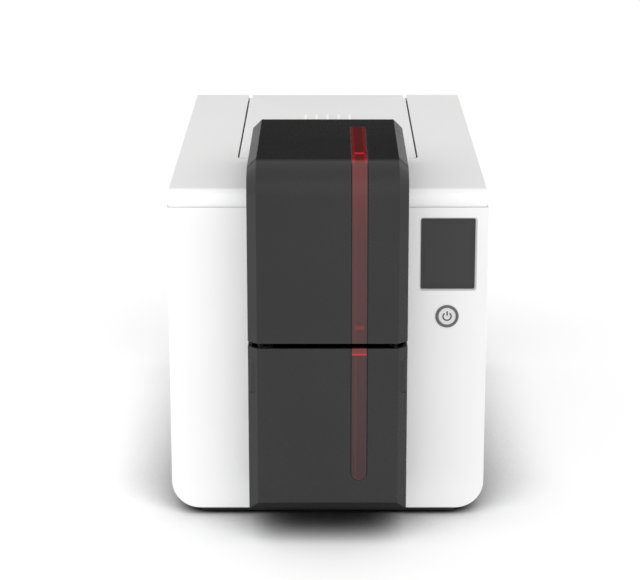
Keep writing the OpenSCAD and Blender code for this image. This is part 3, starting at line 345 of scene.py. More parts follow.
def moulding(node, name, body, edge, finish, slot, steps=3, join_flats=True):
    """Welded copy of a moulded node, its flat faces joined and its sharp edges rounded to a radius in metres."""
    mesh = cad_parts[node].data.copy()
    if "custom_normal" in mesh.attributes:
        mesh.attributes.remove(mesh.attributes["custom_normal"])
    shape = bmesh.new()
    shape.from_mesh(mesh)
    bmesh.ops.remove_doubles(shape, verts=shape.verts, dist=2e-6)
    if join_flats:
        bmesh.ops.dissolve_limit(shape, angle_limit=flat_within, verts=shape.verts, edges=shape.edges)
    shape.to_mesh(mesh)
    shape.free()
    mesh.shade_smooth()
    mesh.set_sharp_from_angle(angle=sharp_from)
    mesh.materials.clear()
    mesh.polygons.foreach_set("material_index", np.zeros(len(mesh.polygons), dtype=np.int32))
    piece = bpy.data.objects.new(name, mesh)
    bpy.context.scene.collection.objects.link(piece)
    round_off = piece.modifiers.new("edge round", "BEVEL")
    round_off.width = edge
    round_off.segments = steps
    round_off.limit_method = "ANGLE"
    round_off.angle_limit = sharp_from
    round_off.harden_normals = True
    round_off.use_clamp_overlap = True
    fit(piece, finish, body, slot, node)


cover_white = (0.87, 0.87, 0.872)
cover_aged = (0.855, 0.855, 0.852)
cover_edge_highlight = (0.98, 0.98, 0.98)
cover_gap_shade = (0.03, 0.03, 0.03)
cover_edge = 0.0007
# The white covers' paler edges are a painted highlight, and their gaps get painted shade.
white_abs = moulded_plastic("white_abs", cover_white, cover_aged, (0.34, 0.46), rubbed_and_lit=(cover_edge_highlight, 0.9),
    painted_shade=cover_gap_shade)
moulding("left_side_cover", "left_cover", "casing", cover_edge, white_abs, "white_shell")
moulding("right_side_cover", "right_cover", "casing", cover_edge, white_abs, "white_shell")
moulding("top_cover", "top_frame", "casing", 0.0005, white_abs, "white_shell")

# ---------- Lid ----------
# One white moulding over the ribbon bay, turning on steel pins at the back.
# Its grip insert is glued in from below, and its five ribs stand through slots in the lid.

moulding("top_lid", "lid_shell", "lid", 0.0004, white_abs, "white_shell")
# The ribs use a whiter copy of the white ABS, as a painted highlight.
rib_highlight_white = moulded_plastic("rib_highlight_white_abs", (0.97, 0.97, 0.97), (0.96, 0.96, 0.96), (0.4, 0.5))
moulding("lid_grip", "grip_ribs", "lid", 0.0003, rib_highlight_white, "white_shell", steps=2)

# ---------- Feeder hood and output door ----------
# The tower is two black mouldings with a satin grain: the hood over the card magazine and the tilting door
# of the output bin. Their corners are bevelled at 45 degrees and rubbed a little paler by hands.

tower_black = (0.013, 0.013, 0.0132)
tower_dull = (0.016, 0.016, 0.0162)
tower_rubbed = (0.04, 0.04, 0.041)
tower_gap_shade = (0.004, 0.004, 0.004)
# The black plastic gets painted shade in its gaps.
black_abs = moulded_plastic("black_abs", tower_black, tower_dull, (0.22, 0.30), 2200.0, 0.000012, 0.5,
    (tower_rubbed, 0.5), tower_gap_shade)


def band(tree, value, centre, half, soft):
    """1 within a half width of a centre, falling to 0 over a soft margin."""
    away = maths(tree, "ABSOLUTE", maths(tree, "SUBTRACT", value, centre))
    return spread(tree, away, 1.0, 0.0, half, half + soft)


# The finger grips in the door's bevels get painted shade. The bevel along the foot faces the table: it gets painted
# shade and is dull.
grip_x = 0.0466
grip_half_w = 0.0010
grip_drop = 0.0195
grip_half_h = 0.0103
tree = black_abs.node_tree
shader = tree.nodes["Principled BSDF"]
axes = axes_of(tree, object_place(tree))
grip_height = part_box("output_door")[1][2] - grip_drop
grip_shade_mask = maths(tree, "MULTIPLY", band(tree, maths(tree, "ABSOLUTE", axes["X"]), grip_x, grip_half_w, 0.0003),
    band(tree, axes["Z"], grip_height, grip_half_h, 0.0004))
grips_shaded = two_tone(tree, grip_shade_mask, shader.inputs["Base Color"].links[0].from_socket, (0.006, 0.006, 0.006))
facing = axes_of(tree, tree.nodes.new("ShaderNodeTexCoord").outputs["Normal"])
underside_shade_mask = spread(tree, facing["Z"], 1.0, 0.0, -0.65, -0.45)
tree.links.new(two_tone(tree, underside_shade_mask, shader.inputs["Roughness"].links[0].from_socket, (0.9, 0.9, 0.9)),
    shader.inputs["Roughness"])
tree.links.new(two_tone(tree, underside_shade_mask, grips_shaded, (0.0015, 0.0015, 0.0015)), shader.inputs["Base Color"])
tower_edge = 0.0006
moulding("feeder_hood", "hood_shell", "hood", tower_edge, black_abs, "black_shell")
moulding("output_door", "door_shell", "door", tower_edge, black_abs, "black_shell")

# ---------- Red windows ----------
# Tinted acrylic strips let into the hood and the door, polished outside and frosted inside.
# Their colour carries painted light: painted glows and highlights show as brighter red at their cut ends, at the brow
# and beside the split, with painted shade deepening towards the foot.

acrylic, tree, shader = new_finish("red_acrylic")
place = object_place(tree)
across, depth, height = axes_of(tree, place)
hood_window, door_window = (np.array(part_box(node)) for node in ("feeder_window", "output_window"))
hood_low, hood_high = hood_window[:, 2]
door_low, door_high = door_window[:, 2]
window_x = hood_window[:, 0].mean()
window_half = (hood_window[1][0] - hood_window[0][0]) / 2
rim_w = 0.0006
core_inset = 0.0024
flank_inset = 0.0010
line_inset = 0.0029
brow = hood_window[0][1] + 0.0300
core = band(tree, across, window_x, window_half - core_inset, 0.0003)
flank = maths(tree, "MULTIPLY", band(tree, across, window_x, window_half - flank_inset, 0.0003),
    spread(tree, core, 1.0, 0.0))
cap = spread(tree, height, 0.0, 1.0, hood_high - 0.0030, hood_high - 0.0008)
left_glint_line = band(tree, across, window_x - window_half + line_inset, 0.0002, 0.0004)

# Down the front, over the red: painted shade deepest at the foot, then painted highlights and glows at the hood's lower
# end, its upper end, a faint line along the left, a line over the split, the cut end under the split, its bright edge,
# and the round foot.
red = two_tone(tree, spread(tree, height, 0.0, 1.0, door_low, door_high), (0.043, 0.020, 0.020), (0.060, 0.026, 0.026))
for mask, colour in (
        (spread(tree, height, 0.0, 1.0, hood_low, hood_low + 0.030), (0.078, 0.027, 0.027)),
        (spread(tree, height, 0.0, 1.0, hood_high - 0.050, hood_high - 0.008), (0.130, 0.030, 0.029)),
        (maths(tree, "MULTIPLY", left_glint_line, spread(tree, cap, 0.3, 0.0)), (0.20, 0.022, 0.035)),
        (maths(tree, "MULTIPLY", band(tree, height, hood_low + 0.0105, 0.0008, 0.0010), core), (0.17, 0.024, 0.030)),
        (band(tree, height, door_high - 0.0012, 0.0020, 0.0003), (0.15, 0.030, 0.030)),
        (band(tree, height, door_high - 0.0037, 0.0004, 0.0003), (0.42, 0.028, 0.036)),
        (spread(tree, height, 1.0, 0.0, door_low + 0.0008, door_low + 0.0014), (0.11, 0.012, 0.018))):
    red = two_tone(tree, mask, red, colour)

# On top, painted light: a dark core between flanks of painted highlight, both brighter in front of the brow, and a
# painted glowing line behind it.
cap_front = spread(tree, depth, 1.0, 0.0, brow - 0.0008, brow + 0.0007)
core_red_painted_light = two_tone(tree, cap_front, (0.120, 0.008, 0.009), (0.150, 0.010, 0.010))
flank_highlight_red = two_tone(tree, cap_front, (0.270, 0.005, 0.008), (0.360, 0.007, 0.013))
painted_glow_line = maths(tree, "MULTIPLY", band(tree, depth, brow + 0.0022, 0.0022, 0.0008),
    maths(tree, "MULTIPLY", cap, core))
top_red_painted_light = two_tone(tree, painted_glow_line, two_tone(tree, flank, core_red_painted_light, flank_highlight_red), (0.66, 0.022, 0.034))
# A thin rim round each strip is painted shade, pale on top as a painted highlight.
rim_shade_highlight_red = two_tone(tree, cap, (0.010, 0.004, 0.004), (0.085, 0.080, 0.075))
inside = band(tree, across, window_x, window_half - rim_w, 0.0001)
tree.links.new(two_tone(tree, inside, rim_shade_highlight_red, two_tone(tree, cap, red, top_red_painted_light)), shader.inputs["Base Color"])
shader.inputs["Transmission Weight"].default_value = 0.12
shader.inputs["IOR"].default_value = 1.49
tree.links.new(spread(tree, noise(tree, place, 60.0, 3.0), 0.10, 0.20), shader.inputs["Roughness"])
add_bump(tree, shader, noise(tree, place, 500.0), 0.1, 0.000004)
moulding("feeder_window", "hood_window", "hood", 0.0003, acrylic, "red_window", steps=2)
moulding("output_window", "door_window", "door", 0.0003, acrylic, "red_window", steps=2)

# ---------- Display ----------
# A smoked glass pane over a small liquid crystal module, set in a pale grey bezel pressed into the right cover.
# The glass is dark and even while the display is off.

glass, tree, shader = new_finish("smoked_glass")
place = object_place(tree)
axes = axes_of(tree, place)
pane = np.array(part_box("display_window"))
screen_margin_x, screen_margin_z = 0.0028, 0.0036
screen_x = band(tree, axes["X"], pane[:, 0].mean(), (pane[1][0] - pane[0][0]) / 2 - screen_margin_x, 0.0001)
screen_z = band(tree, axes["Z"], pane[:, 2].mean(), (pane[1][2] - pane[0][2]) / 2 - screen_margin_z, 0.0001)
screen = maths(tree, "MULTIPLY", screen_x, screen_z)
tree.links.new(two_tone(tree, screen, (0.028, 0.028, 0.029), (0.031, 0.031, 0.032)), shader.inputs["Base Color"])
tree.links.new(spread(tree, noise(tree, place, 40.0, 3.0), 0.16, 0.24), shader.inputs["Roughness"])
moulding("display_window", "display_glass", "casing", 0.0002, glass, "display_glass", steps=2)
pale_abs = moulded_plastic("pale_grey_abs", (0.50, 0.50, 0.505), (0.47, 0.47, 0.475), (0.34, 0.46))
moulding("display_frame", "display_bezel", "casing", 0.00035, pale_abs, "lip_grey", steps=2, join_flats=False)

# ---------- Power button ----------
# A white cap that slides in a satin grey ring, pushed back by a coil spring in front of the switch board.
# The power mark is pad printed: an open ring with a bar at the top.

ring_grey = moulded_plastic("ring_grey_abs", (0.115, 0.115, 0.117), (0.135, 0.135, 0.137), (0.28, 0.38))
moulding("button_ring", "button_bezel", "casing", 0.0003, ring_grey, "ring_grey")
cap_white = moulded_plastic("cap_white_abs", (0.74, 0.74, 0.742), (0.72, 0.72, 0.722), (0.25, 0.35))
moulding("power_button", "button_cap", "button", 0.0004, cap_white, "button_white")

button = np.array(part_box("power_button"))
button_x = button[:, 0].mean()
button_z = button[:, 2].mean()
button_face = button[0][1]
mark_r = 0.0026
mark_gap = 36
mark_stroke = 0.00045
mark_proud = 0.00006
ink, tree, shader = new_finish("print_ink")
speckle = noise(tree, object_place(tree), 3000.0)
tree.links.new(two_tone(tree, speckle, (0.022, 0.022, 0.023), (0.034, 0.034, 0.035)), shader.inputs["Base Color"])
shader.inputs["Roughness"].default_value = 0.5


def printed_line(name, path):
    """Raised line of ink: an ellipse, as wide as the stroke and as high as the ink, carried along a path in X and Z
    with its width along the path's normal, and shrunk to a point over a half circle at both ends."""
    along = np.gradient(path, axis=0)
    along /= np.linalg.norm(along, axis=1, keepdims=True)
    across = np.stack([-along[:, 1], along[:, 0]], axis=1)
    run = np.concatenate([[0], np.cumsum(np.linalg.norm(np.diff(path, axis=0), axis=1))])
    to_end = np.minimum(run, run[-1] - run)
    width = mark_stroke * np.sqrt(np.clip(1 - np.clip(1 - to_end / mark_stroke, 0, 1) ** 2, 0.0001, 1))
    turn = np.linspace(0, 2 * np.pi, 16, endpoint=False)
    side = width[:, None] * np.cos(turn)
    high = mark_proud * np.sin(turn) * (width / mark_stroke)[:, None]
    points = np.stack([path[:, :1] + across[:, :1] * side, button_face - high, path[:, 1:] + across[:, 1:] * side], -1)
    piece = surface(name, points, close_v=True)
    piece.data.shade_smooth()
    fit(piece, ink, "button", "ring_grey")


turn = np.radians(np.linspace(90 + mark_gap, 450 - mark_gap, 61))
printed_line("power_mark_ring", np.stack([button_x + mark_r * np.cos(turn), button_z + mark_r * np.sin(turn)], axis=1))
bar_foot, bar_past_ring = 0.0004, 0.0009
rise = np.linspace(bar_foot, mark_r + bar_past_ring, 25)
printed_line("power_mark_bar", np.stack([button_x + 0 * rise, button_z + rise], axis=1))


def steel(name, colour, gloss, stretch, lines, depth=0.000004):
    """Bright metal whose noise is stretched along one axis, as rolling, drawing or grinding leaves it."""
    finish, tree, shader = new_finish(name)
    place = object_place(tree)
    pull = tree.nodes.new("ShaderNodeMapping")
    pull.inputs["Scale"].default_value = stretch
    tree.links.new(place, pull.inputs["Vector"])
    grain = noise(tree, pull.outputs["Vector"], lines, 4.0, 0.65)
    tone = spread(tree, noise(tree, place, 30.0, 3.0), 0.0, 1.0, 0.3, 0.7)
    darker = tuple(0.8 * part for part in colour)
    tree.links.new(two_tone(tree, tone, colour, darker), shader.inputs["Base Color"])
    shader.inputs["Metallic"].default_value = 1.0
    tree.links.new(spread(tree, grain, gloss[0], gloss[1], 0.3, 0.7), shader.inputs["Roughness"])
    add_bump(tree, shader, grain, 0.3, depth)
    return finish


# The spring is a helix of round wire from the cap to the switch board, where its rear end stays as it is pressed.
pin_steel = steel("ground_steel", (0.62, 0.62, 0.63), (0.18, 0.32), (1, 12, 12), 900.0)
coil = np.array(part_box("button_spring"))
coil_l = coil[1][1] - coil[0][1]
wire_r = 0.0003
coil_r = (coil[1][0] - coil[0][0]) / 2 - wire_r
coil_turns = 4
turn = np.linspace(0, 2 * np.pi * coil_turns, 48 * coil_turns + 1)[:, None]
ring = np.linspace(0, 2 * np.pi, 10, endpoint=False)[None, :]
reach = coil_r + wire_r * np.cos(ring)
run = coil[0][1] + wire_r + (coil_l - 2 * wire_r) * turn / turn.max() + wire_r * np.sin(ring)
spring = surface("return_spring", np.stack([button_x + reach * np.cos(turn), run, button_z + reach * np.sin(turn)],
    axis=-1), close_v=True)
spring.data.shade_smooth()
fit(spring, pin_steel, "casing", "pin_steel", "button_spring")
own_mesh(spring)


def copper_tracks(tree, place, cells):
    """Solder mask over copper: the mask is 1 on the lines between the cells of a Voronoi pattern, in a paler green."""
    tracks = tree.nodes.new("ShaderNodeTexVoronoi")
    tracks.feature = "DISTANCE_TO_EDGE"
    tracks.inputs["Scale"].default_value = cells
    tree.links.new(place, tracks.inputs["Vector"])
    copper = spread(tree, tracks.outputs["Distance"], 1.0, 0.0, 0.05, 0.09)
    return copper, two_tone(tree, copper, (0.010, 0.085, 0.030), (0.022, 0.150, 0.050))


def dress(finish, *nodes):
    """Gives CAD nodes a finish in all their material slots."""
    for node in nodes:
        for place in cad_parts[node].material_slots:
            place.material = finish


board_green, tree, shader = new_finish("solder_mask")
copper, green = copper_tracks(tree, object_place(tree), 260.0)
tree.links.new(green, shader.inputs["Base Color"])
shader.inputs["Roughness"].default_value = 0.32
add_bump(tree, shader, copper, 0.3, 0.00003)
dress(board_green, "switch_board", "display_module")

# ---------- Base, feet and rear panel ----------
# A black powder coated floor plate on four rubber feet, and a dark grey steel rear panel with vents and sockets.
# Pan head screws with cross recesses hold the covers to it; the feet are ringed underneath to grip the table.

base_coat = moulded_plastic("black_powder_coat", (0.012, 0.012, 0.0125), (0.016, 0.016, 0.0165), (0.45, 0.6), 1400.0,
    0.00003)
moulding("base_plate", "floor_plate", "casing", 0.0004, base_coat, "base_black", steps=2)
rear_coat = moulded_plastic("grey_powder_coat", (0.036, 0.036, 0.038), (0.042, 0.042, 0.044), (0.42, 0.56), 1400.0,
    0.00003)
moulding("rear_panel", "back_panel", "casing", 0.0004, rear_coat, "rear_grey", steps=2)


def turned(profile, spots, axis, cut=None, turns=48):
    """Turned pieces, one at each spot: the profile's radius and height pairs are carried round an axis (0 to 2 for
    X to Z), and cut, a function of the two cross coordinates, is taken off the height."""
    angle = np.linspace(0, 2 * np.pi, turns, endpoint=False)
    radius, height = (profile[:, side, None] + 0 * angle for side in (0, 1))
    one, two = radius * np.cos(angle), radius * np.sin(angle)
    if cut:
        height = height - cut(one, two, height)
    form = {0: (height, one, two), 1: (one, height, two), 2: (one, two, height)}[axis]
    return np.asarray(spots)[:, None, None, :] + np.stack(form, axis=-1)


# A screw's head, the bevel at the tip of its shank, and its cross recess.
screw_head_r = 0.0028
head_rim = 0.0003
head_dome = 0.0004
tip_in, tip_up = 0.0003, 0.0004
recess_depth = 0.0011
recess_half = 0.00032
recess_flank = 0.00012
recess_reach = 0.0017
recess_taper = 0.0006


def cross_recess(one, two, height):
    """Depth of a cross recess: two crossing bars with steep flanks, each deeper towards the middle, on the head."""
    def bar(along, over):
        flank = np.clip((recess_half - np.abs(over)) / recess_flank + 1, 0, 1)
        return flank * np.clip((recess_reach - np.abs(along)) / recess_taper, 0, 1)
    return recess_depth * np.maximum(bar(one, two), bar(two, one)) * (height > 0)


def pan_screws(name, node, spots, axis, head_h, shank_l, shank_r=0.0015):
    """Pan head screws: a shank below the seat, a rounded rim, and a domed head that falls off with radius squared."""
    reach = np.linspace(screw_head_r - head_rim, 0, 40)
    rim = np.radians(np.linspace(0, 75, 5))
    crown = head_h - head_dome + head_dome * (1 - (reach / screw_head_r) ** 2)
    profile = np.concatenate([
        [[0, -shank_l], [shank_r - tip_in, -shank_l], [shank_r, tip_up - shank_l], [shank_r, 0], [screw_head_r, 0]],
        np.stack([screw_head_r - head_rim + head_rim * np.cos(rim), crown[0] - head_rim + head_rim * np.sin(rim)], 1),
        np.stack([reach, crown], axis=1)])
    piece = surface(name, turned(profile, spots, axis, cross_recess, 64), close_v=True, weld=True)
    piece.data.set_sharp_from_angle(angle=math.radians(35))
    fit(piece, pin_steel, "casing", "pin_steel", node)


cover_screw = np.array(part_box("cover_screws"))
screw_x = cover_screw[1][0] - screw_head_r
screw_heights = (0.040, 0.120, 0.196)
rear_seat = 0.188
pan_screws("cover_screw_set", "cover_screws",
    [(side * screw_x, rear_seat, height) for side in (-1, 1) for height in screw_heights], 1,
    cover_screw[1][1] - rear_seat, rear_seat - cover_screw[0][1])

foot = np.array(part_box("rubber_feet"))
foot_r = 0.009
foot_round = 0.0007
foot_groove = 0.0005
foot_pitch = 0.0019
foot_land = 0.0005
rib = np.linspace(0, foot_r - foot_round - foot_land, 64)
ribbed = foot_groove * np.clip(0.5 - 1.6 * np.cos(2 * np.pi * rib / foot_pitch), 0, 1)
foot_turn = np.radians(np.linspace(-90, 0, 7))
foot_profile = np.concatenate([np.stack([rib, ribbed], axis=1),
    np.stack([foot_r - foot_round + foot_round * np.cos(foot_turn), foot_round + foot_round * np.sin(foot_turn)], 1),
    [[foot_r, foot[1][2]], [0, foot[1][2]]]])
feet = surface("ribbed_feet", turned(foot_profile, [(side * (foot[1][0] - foot_r), end, 0) for side in (-1, 1)
    for end in (foot[0][1] + foot_r, foot[1][1] - foot_r)], 2), close_v=True, weld=True)
feet.data.set_sharp_from_angle(angle=math.radians(40))
foot_rubber = moulded_plastic("foot_rubber", (0.014, 0.014, 0.014), (0.020, 0.020, 0.020), (0.7, 0.85), 1800.0,
    0.00004, 0.3)
fit(feet, foot_rubber, "casing", "foot_rubber", "rubber_feet")

# ---------- Mainboard ----------
# An upright circuit board behind the rear panel with three sockets: power, data and network.
# Their shells are tinned steel, the power socket is black, and the tongues inside carry gilt contacts.

board = np.array(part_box("mainboard"))
board_face = -0.062
sockets_from = 0.1715
power_top = 0.0500
board_parts, tree, shader = new_finish("mainboard_parts")
place = object_place(tree)
across, depth, height = axes_of(tree, place)
copper, tint = copper_tracks(tree, place, 220.0)
on_board = spread(tree, across, 1.0, 0.0, board_face - 0.0003, board_face - 0.0001)
can_top = spread(tree, across, 1.0, 0.0, board[0][0] + 0.0002, board[0][0] + 0.0004)
socket_zone = spread(tree, depth, 0.0, 1.0, sockets_from, sockets_from + 0.0003)
power_zone = spread(tree, height, 1.0, 0.0, power_top, power_top + 0.0002)
shell_zone = maths(tree, "MULTIPLY", socket_zone, spread(tree, power_zone, 1.0, 0.0))
for mask, colour in ((on_board, (0.030, 0.030, 0.034)), (can_top, (0.60, 0.60, 0.61)),
        (maths(tree, "MULTIPLY", socket_zone, power_zone), (0.020, 0.020, 0.021)), (shell_zone, (0.58, 0.58, 0.57))):
    tint = two_tone(tree, mask, tint, colour)
tree.links.new(tint, shader.inputs["Base Color"])
tree.links.new(maths(tree, "MAXIMUM", shell_zone, can_top), shader.inputs["Metallic"])
tree.links.new(spread(tree, noise(tree, place, 400.0, 3.0), 0.26, 0.40), shader.inputs["Roughness"])
add_bump(tree, shader, copper, 0.3, 0.00003)
dress(board_parts, "mainboard")


def rounded_bars(name, boxes, finish, slot, squareness=0.22):
    """Small rounded bars, one for each box: superellipsoids, whose sines and cosines are raised to a small power."""
    lift, turn = np.meshgrid(np.linspace(-np.pi / 2, np.pi / 2, 13), np.linspace(0, 2 * np.pi, 24, endpoint=False),
        indexing="ij")
    def part(value):
        return np.sign(value) * np.abs(value) ** squareness
    form = np.stack([part(np.cos(lift)) * part(np.cos(turn)), part(np.cos(lift)) * part(np.sin(turn)),
        part(np.sin(lift))], axis=-1)
    low, high = (np.array(boxes)[:, side, None, None, :] for side in (0, 1))
    piece = surface(name, (low + high) / 2 + form * (high - low) / 2, close_v=True, weld=True)
    piece.data.shade_smooth()
    fit(piece, finish, "casing", slot)


tongue_black = moulded_plastic("tongue_black", (0.018, 0.018, 0.019), (0.024, 0.024, 0.025), (0.4, 0.5))
gilt = steel("gilt_contact", (0.80, 0.58, 0.24), (0.16, 0.26), (1, 14, 1), 700.0)
data_x, net_x, power_x = board_face - 0.0055, board_face - 0.00675, board_face - 0.0045
contact_pitch = 0.00116
rounded_bars("socket_tongues", [
    ((data_x - 0.0028, 0.1755, 0.0622), (data_x + 0.0028, 0.1862, 0.0658)),
    ((net_x - 0.0050, 0.1755, 0.0915), (net_x + 0.0050, 0.1830, 0.0945))], tongue_black, "board_green")
rounded_bars("socket_contacts",
    [((data_x + gap - 0.0005, 0.1770, 0.0619), (data_x + gap + 0.0005, 0.1850, 0.0661)) for gap in (-0.0015, 0.0015)]
    + [((net_x + gap - 0.00025, 0.1760, 0.0908), (net_x + gap + 0.00025, 0.1828, 0.0920))
    for gap in np.arange(-3.5, 4) * contact_pitch], gilt, "pin_steel")
power_pin_r = 0.0011
power_pin_l = 0.0105
pin_turn = np.radians(np.linspace(0, 90, 6))
power_pin = surface("power_pin", turned(np.concatenate([[[0, -power_pin_l], [power_pin_r, -power_pin_l]],
    power_pin_r * np.stack([np.cos(pin_turn), np.sin(pin_turn) - 1], axis=1)]),
    [(power_x, 0.1860, 0.0400)], 1, turns=24), close_v=True, weld=True)
power_pin.data.set_sharp_from_angle(angle=math.radians(40))
fit(power_pin, pin_steel, "casing", "pin_steel")

# ---------- Chassis ----------
# Zinc plated sheet frames, turned spacers, screws and studs, and sintered bronze bushes for the shafts.
# The frames stand on the floor plate, held by three screws along each foot.

zinc = steel("zinc_plate", (0.56, 0.57, 0.58), (0.26, 0.42), (1, 1, 14), 260.0, 0.00001)
dress(zinc, "left_frame", "right_frame")
dress(pin_steel, "frame_spacers", "idler_studs", "lid_hinge_pins", "hood_hinge_pins", "door_hinge_pins",
    "motor_pinion", "ribbon_pinion")
bronze = steel("sintered_bronze", (0.60, 0.42, 0.20), (0.35, 0.5), (1, 1, 1), 2400.0, 0.00001)
dress(bronze, "shaft_bushes")
frame_screw = np.array(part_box("frame_screws"))
frame_screw_x = 0.050
frame_seat = 0.007
pan_screws("frame_screw_set", "frame_screws", [(side * frame_screw_x, run, frame_seat) for side in (-1, 1)
    for run in (frame_screw[0][1] + screw_head_r, frame_screw[:, 1].mean(), frame_screw[1][1] - screw_head_r)],
    2, frame_screw[1][2] - frame_seat, 0.002)

# ---------- Card path ----------
# Black moulded track, magazine and output tray; the blank cards are white PVC, pressed down by a grey weight.
# The cards' cut edges show as fine darker lines between them, one to each thickness.

track_black = moulded_plastic("track_black", (0.022, 0.022, 0.023), (0.028, 0.028, 0.029), (0.38, 0.5))
moulding("card_track", "transport_track", "casing", 0.0003, track_black, "track_black", steps=2)
moulding("card_magazine", "card_bin", "casing", 0.0004, track_black, "track_black", steps=2)
moulding("output_tray", "door_tray", "door", 0.0004, track_black, "track_black", steps=2)
weight_grey = moulded_plastic("weight_grey", (0.045, 0.048, 0.052), (0.055, 0.058, 0.062), (0.38, 0.5))
moulding("card_weight", "stack_weight", "weight", 0.0005, weight_grey, "weight_grey", steps=2)

card_t = 0.00076
card_joint = 0.00012
stack_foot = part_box("blank_cards")[0][2]
card_pvc, tree, shader = new_finish("card_pvc")
place = object_place(tree)
layer = maths(tree, "WRAP", axes_of(tree, place)["Z"], stack_foot + card_t, stack_foot)
joint = band(tree, layer, stack_foot + card_t / 2, card_t / 2 - card_joint, card_joint / 2)
tree.links.new(two_tone(tree, joint, (0.42, 0.42, 0.41), (0.80, 0.80, 0.79)), shader.inputs["Base Color"])
tree.links.new(spread(tree, noise(tree, place, 1200.0, 2.0), 0.16, 0.26), shader.inputs["Roughness"])
add_bump(tree, shader, joint, 0.6, 0.0001)
dress(card_pvc, "blank_cards")

# ---------- Rollers and gears ----------
# Rubber sleeves ground round on steel shafts, a blue tacky cleaning roller, and cream acetal gears.
# The grinding leaves fine rings on the sleeves; the gears are moulded and run dry.

def ground_sleeve(name, colour, dull, gloss, lines=2200.0, depth=0.00002):
    """Rubber ground between centres: fine rings whose height changes along the shaft alone, and a drift of tone."""
    finish, tree, shader = new_finish(name)
    place = object_place(tree)
    along = tree.nodes.new("ShaderNodeMapping")
    along.inputs["Scale"].default_value = (1, 0.02, 0.02)
    tree.links.new(place, along.inputs["Vector"])
    rings = noise(tree, along.outputs["Vector"], lines, 3.0, 0.6)
    tone = spread(tree, noise(tree, place, 120.0, 3.0), 0.0, 1.0, 0.35, 0.65)
    tree.links.new(two_tone(tree, tone, colour, dull), shader.inputs["Base Color"])
    tree.links.new(spread(tree, rings, gloss[0], gloss[1], 0.3, 0.7), shader.inputs["Roughness"])
    shader.inputs["Specular IOR Level"].default_value = 0.35
    add_bump(tree, shader, rings, 0.4, depth)
    return finish


drive_rubber = ground_sleeve("drive_rubber", (0.020, 0.020, 0.021), (0.030, 0.030, 0.031), (0.55, 0.75))
dress(drive_rubber, "pick_roller", "entry_roller", "feed_roller", "platen_roller")
clean_rubber = ground_sleeve("tacky_blue_rubber", (0.05, 0.19, 0.46), (0.06, 0.22, 0.50), (0.16, 0.26), 700.0, 0.000006)
dress(clean_rubber, "cleaning_roller")
pinch_rubber = ground_sleeve("pinch_rubber", (0.06, 0.06, 0.065), (0.08, 0.08, 0.085), (0.5, 0.7))
dress(pinch_rubber, "pinch_roller")
acetal = moulded_plastic("cream_acetal", (0.72, 0.68, 0.58), (0.68, 0.64, 0.54), (0.28, 0.4), 1800.0, 0.000008)
dress(acetal, "pick_gear", "entry_gear", "feed_gear", "platen_gear", "pick_idler_gear", "long_idler_gear",
    "head_idler_gear", "take_up_gear")

# ---------- Print head, motors and ribbon ----------
# Extruded aluminium heat sink with the printing edge, two can motors, and the dye ribbon on two white spools.
# The dye film is coated in panels of yellow, magenta, cyan and black, and lies in fine rings where it is wound.

aluminium = steel("extruded_aluminium", (0.70, 0.71, 0.73), (0.24, 0.38), (16, 1, 1), 300.0, 0.000008)
moulding("print_head", "head_sink", "lid", 0.0002, aluminium, "head_aluminium", steps=2)
moulding("head_bracket", "head_arm", "lid", 0.0003, zinc, "frame_steel", steps=2)

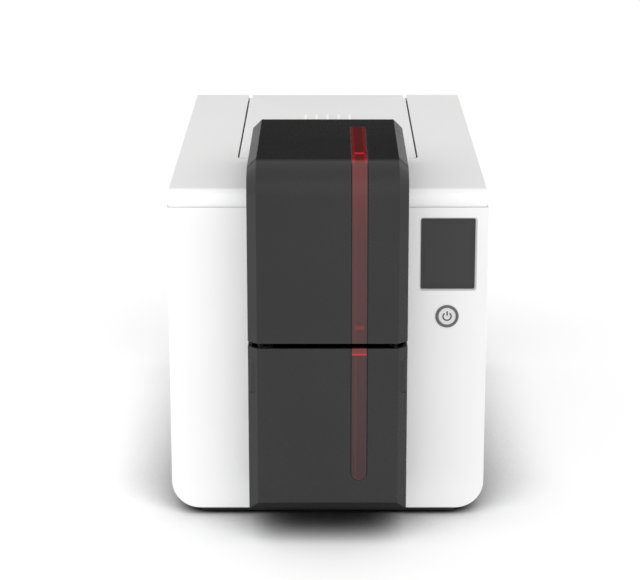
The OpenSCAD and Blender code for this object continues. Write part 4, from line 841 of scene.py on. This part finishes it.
end_bell_l = 0.0045
motor_can, tree, shader = new_finish("motor_can")
place = object_place(tree)
end_bell = band(tree, axes_of(tree, place)["X"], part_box("transport_motor")[0][0], end_bell_l, 0.0001)
tree.links.new(two_tone(tree, end_bell, (0.42, 0.42, 0.43), (0.025, 0.025, 0.027)), shader.inputs["Base Color"])
tree.links.new(spread(tree, end_bell, 1.0, 0.0), shader.inputs["Metallic"])
tree.links.new(spread(tree, noise(tree, place, 900.0, 3.0), 0.28, 0.44), shader.inputs["Roughness"])
add_bump(tree, shader, noise(tree, place, 1600.0), 0.2, 0.00001)
dress(motor_can, "transport_motor", "ribbon_motor")
spool_white = moulded_plastic("spool_white", (0.70, 0.70, 0.67), (0.66, 0.66, 0.63), (0.34, 0.46))
dress(spool_white, "supply_spool", "take_up_spool")


def wound_film(name, node, colour):
    """Film wound on a spool: noise by the distance from the spool's axis, which gives fine rings on the ends."""
    ends = np.array(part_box(node))
    finish, tree, shader = new_finish(name)
    centred = tree.nodes.new("ShaderNodeMapping")
    centred.inputs["Location"].default_value = (0, -ends[:, 1].mean(), -ends[:, 2].mean())
    centred.inputs["Scale"].default_value = (0, 1, 1)
    tree.links.new(object_place(tree), centred.inputs["Vector"])
    radius = tree.nodes.new("ShaderNodeVectorMath")
    radius.operation = "LENGTH"
    tree.links.new(centred.outputs["Vector"], radius.inputs[0])
    rings = tree.nodes.new("ShaderNodeTexNoise")
    rings.noise_dimensions = "1D"
    rings.inputs["Scale"].default_value = 3200.0
    tree.links.new(radius.outputs["Value"], rings.inputs["W"])
    paler = tuple(2.2 * part for part in colour)
    tree.links.new(two_tone(tree, rings.outputs["Fac"], colour, paler), shader.inputs["Base Color"])
    tree.links.new(spread(tree, rings.outputs["Fac"], 0.12, 0.24, 0.3, 0.7), shader.inputs["Roughness"])
    add_bump(tree, shader, rings.outputs["Fac"], 0.3, 0.00002)
    dress(finish, node)


wound_film("fresh_film", "supply_ribbon", (0.016, 0.010, 0.045))
wound_film("spent_film", "take_up_ribbon", (0.020, 0.012, 0.030))

panel_l = 0.030
yellow_end = -0.0250
dye_film, tree, shader = new_finish("dye_film")
place = object_place(tree)
dye = (0.50, 0.36, 0.010)
for panel, colour in enumerate(((0.42, 0.010, 0.10), (0.010, 0.10, 0.30), (0.014, 0.012, 0.020))):
    start = yellow_end + panel * panel_l
    dye = two_tone(tree, spread(tree, axes_of(tree, place)["Y"], 0.0, 1.0, start - 0.0001, start), dye, colour)
tree.links.new(dye, shader.inputs["Base Color"])
tree.links.new(spread(tree, noise(tree, place, 400.0, 3.0), 0.12, 0.20), shader.inputs["Roughness"])
add_bump(tree, shader, noise(tree, place, 60.0, 2.0), 0.2, 0.00008)
dress(dye_film, "ribbon_film")
